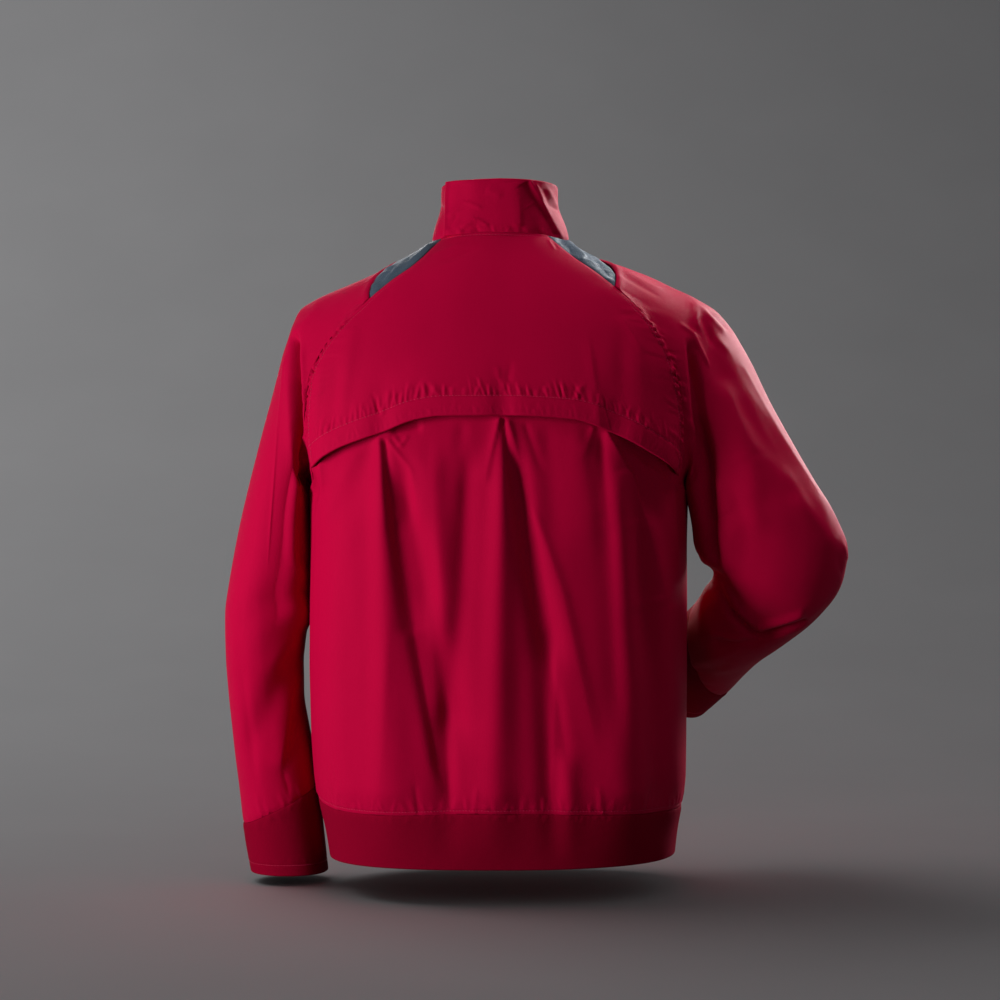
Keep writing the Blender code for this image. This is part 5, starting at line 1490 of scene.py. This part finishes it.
CRIMSON_SHINE = (1.0, 0.10, 0.24, 1.0)
SLATE_SHINE = (0.85, 0.93, 1.0, 1.0)
FINISHES = {
    "woven": shaded_cloth(
        "woven_crimson", (0.370, 0.0008, 0.0290), (0.470, 0.0016, 0.0400), CRIMSON_SHINE,
        pitch=0.0006, ribs=0.25, roughness=0.50, shine=0.10, sheen=0.05,
    ),
    "knit": shaded_cloth(
        "knit_crimson", (0.175, 0.0006, 0.0120), (0.250, 0.0012, 0.0190), CRIMSON_SHINE,
        pitch=0.0011, ribs=0.70, roughness=0.74, shine=0.06, sheen=0.04,
    ),
    "satin": shaded_cloth(
        "slate_satin", (0.040, 0.058, 0.082), (0.085, 0.118, 0.160), SLATE_SHINE,
        pitch=0.0005, ribs=0.35, roughness=0.36, shine=0.42, sheen=0.03,
    ),
    "tape": shaded_cloth(
        "zip_tape_crimson", (0.130, 0.0010, 0.0110), (0.210, 0.0020, 0.0200), CRIMSON_SHINE,
        pitch=0.0008, ribs=0.10, roughness=0.62, shine=0.20, sheen=0.05,
    ),
    "metal": metal_finish(),
    "thread": thread_finish("crimson_thread", (0.420, 0.0100, 0.0500), (0.680, 0.0500, 0.1300)),
    "teeth": thread_finish("crimson_teeth", (0.110, 0.0015, 0.0110), (0.220, 0.0030, 0.0220)),
}


# Stitches and teeth


def repeat_tree(name, segments):
    """A node tree that sets a small ball on every point, drawn out along its heading."""
    tree = bpy.data.node_groups.new(name, "GeometryNodeTree")
    for label, kind in (
        ("Geometry", "Geometry"), ("Length", "Float"), ("Width", "Float"), ("Depth", "Float"),
        ("Finish", "Material"),
    ):
        tree.interface.new_socket(name=label, in_out="INPUT", socket_type=f"NodeSocket{kind}")
    tree.interface.new_socket(name="Geometry", in_out="OUTPUT", socket_type="NodeSocketGeometry")

    def add(kind, settings=(), sockets=()):
        return add_node(tree, kind, settings, sockets).outputs[0]

    given = add_node(tree, "NodeGroupInput").outputs
    sizes = enumerate(given[label] for label in ("Length", "Width", "Depth"))
    size = add("ShaderNodeCombineXYZ", {}, sizes)
    ball = add("GeometryNodeMeshUVSphere", {}, {"Segments": segments, "Rings": 4, "Radius": 0.5})
    drawn_out = add("GeometryNodeTransform", {}, {"Geometry": ball, "Scale": size})
    heading, outward = (
        add("GeometryNodeInputNamedAttribute", {"data_type": "FLOAT_VECTOR"}, {"Name": label})
        for label in ("heading", "outward")
    )
    turn = add("FunctionNodeAlignRotationToVector", {"axis": "X"}, {"Vector": heading})
    turn = add(
        "FunctionNodeAlignRotationToVector",
        {"axis": "Z", "pivot_axis": "X"},
        {"Vector": outward, "Rotation": turn},
    )
    points = add("GeometryNodeMeshToPoints", {}, {"Mesh": given["Geometry"]})
    placed = add(
        "GeometryNodeInstanceOnPoints", {}, {"Points": points, "Instance": drawn_out, "Rotation": turn}
    )
    real = add("GeometryNodeRealizeInstances", {}, {0: placed})
    smooth = add("GeometryNodeSetShadeSmooth", {}, {0: real})
    finished = add("GeometryNodeSetMaterial", {}, {"Geometry": smooth, "Material": given["Finish"]})
    add_node(tree, "NodeGroupOutput", {}, {"Geometry": finished})
    return tree


STITCH_TREE = repeat_tree("stitch_row", 5)
TOOTH_TREE = repeat_tree("zip_coil", 6)


def repeated(name, tree, places, headings, outs, sizes, finish):
    """A mesh of one shape repeated at places, as one piece."""
    mesh = bpy.data.meshes.new(name)
    mesh.from_pydata([tuple(place) for place in places], [], [])
    for label, vectors in (("heading", headings), ("outward", outs)):
        layer = mesh.attributes.new(label, "FLOAT_VECTOR", "POINT")
        layer.data.foreach_set("vector", np.asarray(vectors, np.float32).ravel())
    points = linked(name, mesh)
    modifier = points.modifiers.new("repeat", "NODES")
    modifier.node_group = tree
    values = dict(zip(("Length", "Width", "Depth"), sizes), Finish=FINISHES[finish])
    for item in tree.interface.items_tree:
        if item.in_out == "INPUT" and item.name in values:
            modifier[item.identifier] = values[item.name]
    made = bpy.data.meshes.new_from_object(
        points.evaluated_get(bpy.context.evaluated_depsgraph_get())
    )
    made.name = name
    points.modifiers.clear()
    points.data = made
    return points


STITCH_PITCH = 0.0033
STITCH_SIZE = (0.0024, 0.00056, 0.00050)


class Sewing:
    """Rows of stitches that are gathered and then made as one piece."""

    def __init__(self):
        self.places, self.headings, self.outs = [], [], []

    def row(self, panel, line, distance):
        row = panel.at_line(line, distance, STITCH_PITCH)
        for before, here, after in zip(row, row[1:], row[2:]):
            if before is None or here is None or after is None:
                continue
            heading = after[0] - before[0]
            if 0.6 < np.linalg.norm(heading) / (2 * STITCH_PITCH) < 1.5:
                self.places.append(here[0])
                self.headings.append(unit(heading))
                self.outs.append(here[1])

    def made(self, name):
        return repeated(
            name, STITCH_TREE, self.places, self.headings, self.outs, STITCH_SIZE, "thread"
        )


# Pieces


WOVEN_CLOTH = 0.0010
KNIT_CLOTH = 0.0018
HEM_STITCH = 0.021  # yoke's topstitching above its free edge
NECK_STITCH = 0.004
RAGLAN_STITCH = 0.0055
BAND_STITCH = 0.004  # above the hem band's seam
ZIP_STITCH = 0.005  # beside the zip
FRONT_NECK_SHARE = 0.45  # of a front's top edge, as far as the insert's lower end
CUFF_STITCH = 0.012
# Cloth under the arms that hangs towards the body: from down, to down, rise
UNDERARM_FILLS = {"left": (0.258, 0.415, 0.0080), "right": (0.258, 0.350, 0.0085)}
# The armhole's points between which the back raglan seam, the crown and the front one run
SLEEVE_SEAM_PARTS = ((2, 10), (10, 22), (22, 30))


def outward_of(points):
    """Directions away from the garment's upright middle line."""
    return points * (1, 1, 0)


def body_piece(name, grid, relief):
    points = on_body(grid[..., 0], grid[..., 1], relief)
    return Panel(name, points, outward_of(points))


def across_grid(top, bottom, shares):
    """A grid between two edges with the same count of points."""
    shares = shares[:, None, None]
    return top[None] * (1 - shares) + bottom[None] * shares


def rolled(line, radius):
    """A free edge folded under, with a round lip."""
    inside = np.clip(1 - line.distance / radius, 0, 1)
    return -radius * (1 - np.sqrt(1 - inside**2))


def soft_cloth(panel, size, rise, seed, lengthways=2.5):
    """Broad faint unevenness, longer down the cloth than across it."""
    places = cloth_places(panel.points, panel.closed)
    wave = chance_over(places[..., 0] / size, places[..., 1] / (size * lengthways), seed)
    small = chance_over(places[..., 0] / (size * 0.4), places[..., 1] / (size * 0.9), seed + 11)
    return rise * (wave + 0.3 * small)


def make_yoke(sewing):
    rows = clustered(170, (1.0, 0.14, 2.2), (0.0, 0.03, 1.6))
    columns = clustered(360, (0.0, 0.07, 1.7), (1.0, 0.07, 1.7))
    sides = [
        at_shares(joined(SEAMS[side].back_tail, SEAMS[side].back_raglan), rows)
        for side in ("right", "left")
    ]
    grid = panel_grid(neck_seam(), yoke_edge(NECK_CELLS), *sides, rows, columns)
    panel = body_piece("back_yoke", grid, yoke_relief)
    neck, hem = panel.edge("top"), panel.edge("bottom")
    sides = {"right": panel.edge("first"), "left": panel.edge("last")}
    tail = TAIL_CELLS / (TAIL_CELLS + RAGLAN_CELLS)
    panel.height += seam_valley(neck, 0.0002) + rolled(hem, 0.0012)
    panel.height += soft_cloth(panel, 0.05, 0.0007, 2) + puckers(hem, "yoke_hem")
    panel.height += stitched(hem, HEM_STITCH) + stitched(neck, NECK_STITCH)
    panel.height += crease_height(YOKE_CREASES, panel.points, panel.behind)
    panel.sewn_at(hem, neck, *sides.values())
    for side, line in sides.items():
        below_insert = ease((line.run / line.length - tail) * 6)
        panel.height += seam_valley(line) + below_insert * stitched(line, RAGLAN_STITCH)
        panel.height += puckers(line, f"yoke_{side}")
    sewing.row(panel, hem, HEM_STITCH)
    sewing.row(panel, neck, NECK_STITCH)
    for line in sides.values():
        sewing.row(panel, line, RAGLAN_STITCH)
    return draped(panel, WOVEN_CLOTH, "woven")


def make_lower_back(sewing):
    rows = clustered(180, (1.0, 0.06, 2.0), (0.12, 0.06, 1.5))
    columns = clustered(370, (0.0, 0.02, 1.5), (1.0, 0.02, 1.5))
    bottom, shares = back_hem()
    sides = side_seam(-1.0, rows), side_seam(1.0, rows)
    grid = panel_grid(lower_back_top(), bottom, *sides, rows, columns, shares)
    panel = body_piece("back_lower", grid, lower_back_relief)
    hem, sides = panel.edge("bottom"), [panel.edge("first"), panel.edge("last")]
    panel.height += seam_valley(hem) + stitched(hem, BAND_STITCH) + puckers(hem, "back_hem")
    panel.height += soft_cloth(panel, 0.05, 0.0008, 12)
    panel.height += crease_height(BACK_CREASES, panel.points, panel.behind)
    panel.sewn_at(hem, *sides)
    for line in sides:
        panel.height += seam_valley(line) + puckers(line, "side_seam")
    sewing.row(panel, hem, BAND_STITCH)
    return draped(panel, WOVEN_CLOTH, "woven")


def make_front(side, sewing):
    sign = SEAMS[side].sign
    rows = clustered(180, (1.0, 0.05, 2.0), (0.0, 0.05, 1.6))
    columns = clustered(130, (0.0, 0.04, 2.0), (1.0, 0.03, 1.4))
    bottom, shares = front_hem(side)
    sides = centre_front(sign, rows), side_seam(float(sign), rows)
    grid = panel_grid(front_top(side), bottom, *sides, rows, columns, shares)
    panel = body_piece(f"front_{side}", grid, front_relief)
    hem, zip_edge, top = panel.edge("bottom"), panel.edge("first"), panel.edge("top")
    panel.height += seam_valley(hem) + stitched(hem, BAND_STITCH) + puckers(hem, "front_hem")
    panel.height += rolled(zip_edge, 0.0009) + stitched(zip_edge, ZIP_STITCH)
    panel.height += puckers(zip_edge, "zip_edge") + soft_cloth(panel, 0.05, 0.0008, 22)
    panel.height += crease_height(FRONT_CREASES, panel.points, panel.in_front)
    panel.sewn_at(hem, zip_edge, top)
    below_insert = ease((top.run / top.length - FRONT_NECK_SHARE) * 6)
    panel.height += seam_valley(top) + below_insert * stitched(top, RAGLAN_STITCH)
    panel.height += puckers(top, "front_raglan")
    sewing.row(panel, hem, BAND_STITCH)
    sewing.row(panel, zip_edge, ZIP_STITCH)
    sewing.row(panel, top, RAGLAN_STITCH)
    return draped(panel, WOVEN_CLOTH, "woven")


def make_insert(side):
    seams = SEAMS[side]
    inner = joined(seams.back_tail[::-1], seams.shoulder_neck, seams.front_tail)
    tip = INSERT_TIP * FINE / (len(inner) - 1)
    columns = np.linspace(tip, 1 - tip, 161)
    inner, outer = at_shares(inner, columns), at_shares(seams.crown, columns)
    grid = across_grid(inner, outer, np.linspace(0, 1, 31))
    panel = body_piece(f"insert_{side}", grid, plain_relief)
    neck, crown = panel.edge("top"), panel.edge("bottom")
    panel.height += seam_valley(neck) + seam_valley(crown, 0.0016, 0.004)
    panel.height += puckers(crown, f"insert_{side}")
    panel.height += crease_height(INSERT_CREASES, panel.points, panel.behind)
    panel.sewn_at(neck, crown)
    return draped(panel, WOVEN_CLOTH, "satin")


def sleeve_panel(name, sleeve, index, along):
    """A panel round a sleeve, at places along it and at the armhole's points by index."""
    index = np.broadcast_to(index, along.shape)
    points = sleeve.surface(along, index)
    if along[0].max() == 0:
        # The first row follows the armhole's own curve between the coarse net's points too.
        steps = np.arange(len(sleeve.fine_loop) + 1) / FINE
        closed_loop = np.concatenate([sleeve.fine_loop, sleeve.fine_loop[:1]])
        exact = at_shares(closed_loop, index[0], steps)
        points += (exact - points[0])[None] * ease(1 - along / 0.05)[..., None]
    return Panel(name, points, points - points.mean(axis=1, keepdims=True), closed=True)


def make_sleeve(side, sleeve):
    count = len(sleeve.loop)
    per_cell = np.repeat((8, 12, 8), (2, 8, 22))
    index = np.concatenate([[0], np.cumsum(np.repeat(1 / per_cell, per_cell))])[:-1]
    crowds = [(0.0, 0.04, 2.0), (1.0, 0.02, 1.8)] + [(0.76, 0.09, 1.9)] * (side == "right")
    along = clustered(182, *crowds)[:, None] * cuff_start(side, index, count)[None]
    panel = sleeve_panel(f"sleeve_{side}", sleeve, index, along)
    points = panel.points
    loop, places = np.concatenate([points[0], points[0][:1]]), np.append(index, count)
    back, crown, front = (
        panel.line(loop[(places >= low) & (places <= high)]) for low, high in SLEEVE_SEAM_PARTS
    )
    armhole, cuff_seam = panel.edge("top"), panel.edge("bottom")
    panel.height += seam_valley(armhole)
    panel.height += seam_valley(cuff_seam) + puckers(cuff_seam, "sleeve_end")
    panel.height += puckers(back, "sleeve_raglan") + puckers(front, "sleeve_raglan")
    panel.height += soft_cloth(panel, 0.06, 0.0009, 42 + sleeve.sign)
    creases = LEFT_SLEEVE_CREASES if side == "left" else RIGHT_SLEEVE_CREASES
    panel.height += crease_height(creases, points, panel.behind + 0.7 * panel.in_front)
    panel.height += 0.0014 * near(crown.distance - 0.004, 0.004)
    down, fill = -points[..., 2], UNDERARM_FILLS[side]
    window = ease((down - fill[0]) / 0.030 + 0.5) * ease((fill[1] - down) / 0.030 + 0.5)
    panel.height += fill[2] * window * ease(-sleeve.sign * panel.out[..., 0] * 1.8 - 0.5)
    panel.sewn_at(armhole, cuff_seam)
    return draped(panel, WOVEN_CLOTH, "woven")


def make_cuff(side, sleeve, sewing):
    count = len(sleeve.loop)
    index = np.arange(0, count, count / 192)
    rows = clustered(46, (0.0, 0.05, 1.5), (1.0, 0.10, 2.2))[:, None]
    seam_place = cuff_start(side, index, count)[None]
    panel = sleeve_panel(f"cuff_{side}", sleeve, index, seam_place + (1 - seam_place) * rows)
    seam, edge = panel.edge("top"), panel.edge("bottom")
    panel.height += seam_valley(seam) + rolled(edge, 0.0014) + stitched(edge, CUFF_STITCH)
    panel.height += puckers(seam, "cuff_seam") + puckers(edge, "cuff_edge")
    panel.sewn_at(seam)
    sewing.row(panel, edge, CUFF_STITCH)
    return draped(panel, KNIT_CLOTH, "knit")


def make_collar(sewing):
    rows = clustered(50, (0.0, 0.06, 1.8), (1.0, 0.06, 2.0))
    points = collar_grid(rows, np.linspace(0, 1, 331))
    points[0, :, 2] -= 0.0009  # tucked into the neck seam
    panel = Panel("collar", points, outward_of(points))
    seam, top = panel.edge("top"), panel.edge("bottom")
    ends = [panel.edge("first"), panel.edge("last")]
    panel.height += seam_valley(seam, 0.0004) + rolled(top, 0.0013) + puckers(seam, "collar_seam")
    panel.height += soft_cloth(panel, 0.03, 0.0010, 52, 1.2)
    for line in ends:
        panel.height += rolled(line, 0.0009) + stitched(line, ZIP_STITCH)
    panel.height += crease_height(COLLAR_CREASES, points, panel.behind)
    panel.sewn_at(seam, *ends)
    for line in ends:
        sewing.row(panel, line, ZIP_STITCH)
    return draped(panel, KNIT_CLOTH, "woven")


def make_hem_band():
    top = at_shares(hem_seam_all(), np.linspace(0, 1, 561))
    bottom = np.stack([top[:, 0], BAND_EDGE.read("down", top[:, 0])], axis=1)
    grid = across_grid(top, bottom, clustered(36, (0.0, 0.05, 1.8), (1.0, 0.08, 2.2)))
    for sign, column in ((-1, 0), (1, -1)):
        downs = grid[:, column, 1]
        grid[:, column, 0] = [around_at(sign * ZIP_OPENING / 2, d, True) for d in downs]
    panel = body_piece("hem_band", grid, band_relief)
    seam = panel.edge("top")
    panel.height += seam_valley(seam) + puckers(seam, "band_seam")
    panel.height += rolled(panel.edge("bottom"), 0.0016)
    panel.height += rolled(panel.edge("first"), 0.0009) + rolled(panel.edge("last"), 0.0009)
    panel.sewn_at(seam)
    return draped(panel, KNIT_CLOTH, "knit")


# Zip


COIL_PITCH = 0.0013
COIL_SIZE = (0.0030, 0.0009, 0.0012)
COIL_OFFSET = 0.0010
COIL_PARTING = 0.0020  # further apart at the top, above the slider


def zip_directions(line):
    along = unit(np.gradient(line, axis=0))
    out = np.stack([along[:, 1], -along[:, 0]], axis=1)
    return out * np.where(out[:, :1] > 0, -1, 1)


def make_zip():
    line = zip_line()
    out = zip_directions(line)
    face = line - out * TAPE_SINK
    widths = TAPE_HALF * np.linspace(-1, 1, 17)
    groove = -0.0005 * near(widths, 0.0006) + 0.0002 * near(np.abs(widths) - 0.0034, 0.0006)
    points = np.stack(
        [np.column_stack([np.full(len(face), x), face + out * g]) for x, g in zip(widths, groove)],
        axis=1,
    )
    tape = Panel("zip_tape", points, points * 0 + (0, -1, 0))
    pieces = [draped(tape, 0.0010, "tape")]
    run = lengths_so_far(face)
    places, headings, outs = [], [], []
    for side, start in ((-1, 0.0), (1, 0.5)):
        for step in np.arange(1 + start, int(run[-1] / COIL_PITCH) - 1):
            way = step * COIL_PITCH
            if abs(way - SLIDER_DROP) < 0.0055:
                continue
            middle = np.array([np.interp(way, run, face[:, i]) for i in (0, 1)])
            outward = unit(np.array([np.interp(way, run, out[:, i]) for i in (0, 1)]))
            parting = COIL_PARTING * ease(1 - way / (SLIDER_DROP - 0.004))
            across = side * (COIL_OFFSET + parting)
            places.append((across, *(middle + outward * 0.0004)))
            fall = np.array([0.0, outward[1], -outward[0]])
            headings.append(unit(np.array([1.0, 0.0, 0.0]) + side * 0.10 * fall))
            outs.append((0.0, *outward))
    teeth = repeated("zip_coils", TOOTH_TREE, places, headings, outs, COIL_SIZE, "teeth")
    return pieces[0], teeth


# Camera, lights and floor


def aimed(location, target):
    """The turn of a light or camera at a location so that it faces a target."""
    return (Vector(target) - Vector(location)).to_track_quat("-Z", "Y").to_euler()


def make_camera():
    camera = bpy.data.cameras.new("camera")
    camera.sensor_width, camera.lens = 36, 80.92
    seen = linked("camera", camera)
    seen.location = (0, 2.45, -0.285)
    seen.rotation_euler = (math.radians(90), 0, math.radians(180))
    bpy.context.scene.camera = seen


LIGHTS = Table("x y z target_x target_y target_z width height power spread on_floor glossy", """
    1.34 .8 -.3 .05 0 -.45 .45 1.2 13.4 120 0 1  # key
    -1.4 2 .2 0 0 -.35 1.4 1.4 2.6 180 0 1
    -1.3 -1.4 .7 -.1 0 -.2 .35 1.4 13 80 0 1  # rim
    .3 -2.4 .2 0 0 -.3 1 1.4 5.5 120 0 1  # for the front
    -.8 -.3 1.5 -.15 0 -.25 1 .8 11 120 0 0
    2.3 -1.2 2.4 1.6 -2.6 -.7 3 3 36 180 1 1  # for the floor
""")


def make_lights(floor):
    for number, light in enumerate(LIGHTS.each()):
        lamp = bpy.data.lights.new(f"light_{number}", "AREA")
        lamp.shape = "RECTANGLE"
        lamp.size, lamp.size_y = light["width"], light["height"]
        lamp.energy = light["power"]
        lamp.spread = math.radians(light["spread"])
        made = linked(lamp.name, lamp)
        made.location = (light["x"], light["y"], light["z"])
        target = (light["target_x"], light["target_y"], light["target_z"])
        made.rotation_euler = aimed(made.location, target)
        made.visible_camera, made.visible_glossy = False, bool(light["glossy"])
        floor_link = bpy.data.collections.new(f"{lamp.name}_floor")
        floor_link.objects.link(floor)
        made.light_linking.receiver_collection = floor_link
        state = "INCLUDE" if light["on_floor"] else "EXCLUDE"
        floor_link.collection_objects[0].light_linking.link_state = state
    world = bpy.data.worlds.new("studio")
    world.use_nodes = True
    background = world.node_tree.nodes["Background"]
    background.inputs["Color"].default_value = (0.55, 0.55, 0.56, 1)
    background.inputs["Strength"].default_value = 0.16
    bpy.context.scene.world = world
    bpy.context.scene.view_settings.view_transform = "Standard"


FLOOR_DOWN = 0.7045
BACKDROP_RADIUS, BACKDROP_START = 4.0, -0.6


def make_floor():
    """A pale floor that the garment stands over, with a far edge that sweeps up as a backdrop."""
    finish = Finish("pale_floor", Roughness=0.85)
    share = finish.chance(finish.object_place(), 0.3)
    finish.feed("Base Color", finish.blend(share, (0.56, 0.56, 0.57), (0.62, 0.62, 0.63)))
    turns = np.linspace(0, math.pi / 2, 25)
    radius, far = BACKDROP_RADIUS, BACKDROP_START
    sweep = [(6.0, -FLOOR_DOWN)]
    sweep += [(far - radius * math.sin(t), radius * (1 - math.cos(t)) - FLOOR_DOWN) for t in turns]
    sweep.append((far - radius, 4.0))
    vertices = [(x, y, z) for y, z in sweep for x in (-7.0, 7.0)]
    faces = [(2 * i + 1, 2 * i, 2 * i + 2, 2 * i + 3) for i in range(len(sweep) - 1)]
    mesh = bpy.data.meshes.new("floor")
    mesh.from_pydata(vertices, [], faces)
    mesh.shade_smooth()
    mesh.materials.append(finish.material)
    floor = linked("floor", mesh)
    return floor


# The garment


# A piece's cut before it was sewn: width, length, area, how it is held and what holds it
SHEETS = {
    "back_yoke": (0.42, 0.26, 0.078, "hung", ("collar", "sleeve_left", "sleeve_right")),
    "back_lower": (0.56, 0.50, 0.250, "gathered", ("front_left", "front_right", "hem_band")),
    "front_left": (0.30, 0.66, 0.135, "hung", ("sleeve_left", "collar", "hem_band")),
    "front_right": (0.30, 0.66, 0.135, "hung", ("sleeve_right", "collar", "hem_band")),
    "collar": (0.42, 0.068, 0.028, "stretched", ("back_yoke", "front_left", "front_right")),
    "hem_band": (1.02, 0.066, 0.067, "stretched", ("back_lower", "front_left", "front_right")),
    "insert_left": (0.29, 0.055, 0.0098, "stretched", ("sleeve_left", "back_yoke", "front_left")),
    "insert_right": (0.29, 0.055, 0.0098, "stretched", ("sleeve_right", "back_yoke", "front_right")),
    "sleeve_left": (0.47, 0.66, 0.185, "hung", ("back_yoke", "front_left", "insert_left")),
    "sleeve_right": (0.47, 0.68, 0.195, "hung", ("back_yoke", "front_right", "insert_right")),
    "cuff_left": (0.23, 0.12, 0.0215, "hung", ("sleeve_left",)),
    "cuff_right": (0.23, 0.17, 0.0290, "hung", ("sleeve_right",)),
    "zip_tape": (0.0115, 0.71, 0.0081, "hung", ("front_left", "front_right")),
}
SEWN_NODES = (
    "back_yoke", "back_lower", "front_left", "front_right", "collar", "cuff_left", "cuff_right",
)


def dress(piece, node, body="garment"):
    """A finished piece in a solid's place, moving with its body."""
    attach(piece, body)
    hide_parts(node)


def main():
    make_camera()
    make_lights(make_floor())
    sewing = {node: Sewing() for node in SEWN_NODES}
    made = {
        "back_yoke": (make_yoke(sewing["back_yoke"]), "woven"),
        "back_lower": (make_lower_back(sewing["back_lower"]), "woven"),
        "collar": (make_collar(sewing["collar"]), "woven"),
        "hem_band": (make_hem_band(), "knit"),
    }
    for side in SIDES:
        made[f"front_{side}"] = (make_front(side, sewing[f"front_{side}"]), "woven")
        made[f"insert_{side}"] = (make_insert(side), "satin")
        sleeve = Sleeve(side)
        made[f"sleeve_{side}"] = (make_sleeve(side, sleeve), "woven")
        made[f"cuff_{side}"] = (make_cuff(side, sleeve, sewing[f"cuff_{side}"]), "knit")
    tape, teeth = make_zip()
    made["zip_tape"] = (tape, "tape")
    for node, (piece, slot) in made.items():
        dress(piece, node)
    sewn_on = {node: rows.made(f"stitching_{node}") for node, rows in sewing.items()}
    sewn_on["zip_tape"] = teeth
    for node, rows in sewn_on.items():
        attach(rows, "garment")
    for node, (width, length, area, held, holders) in SHEETS.items():
        [sewn_on[node]] if node in sewn_on else []
    for node in ("zip_slider", "zip_pull"):
        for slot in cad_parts[node].material_slots:
            slot.material = FINISHES["metal"]


main()
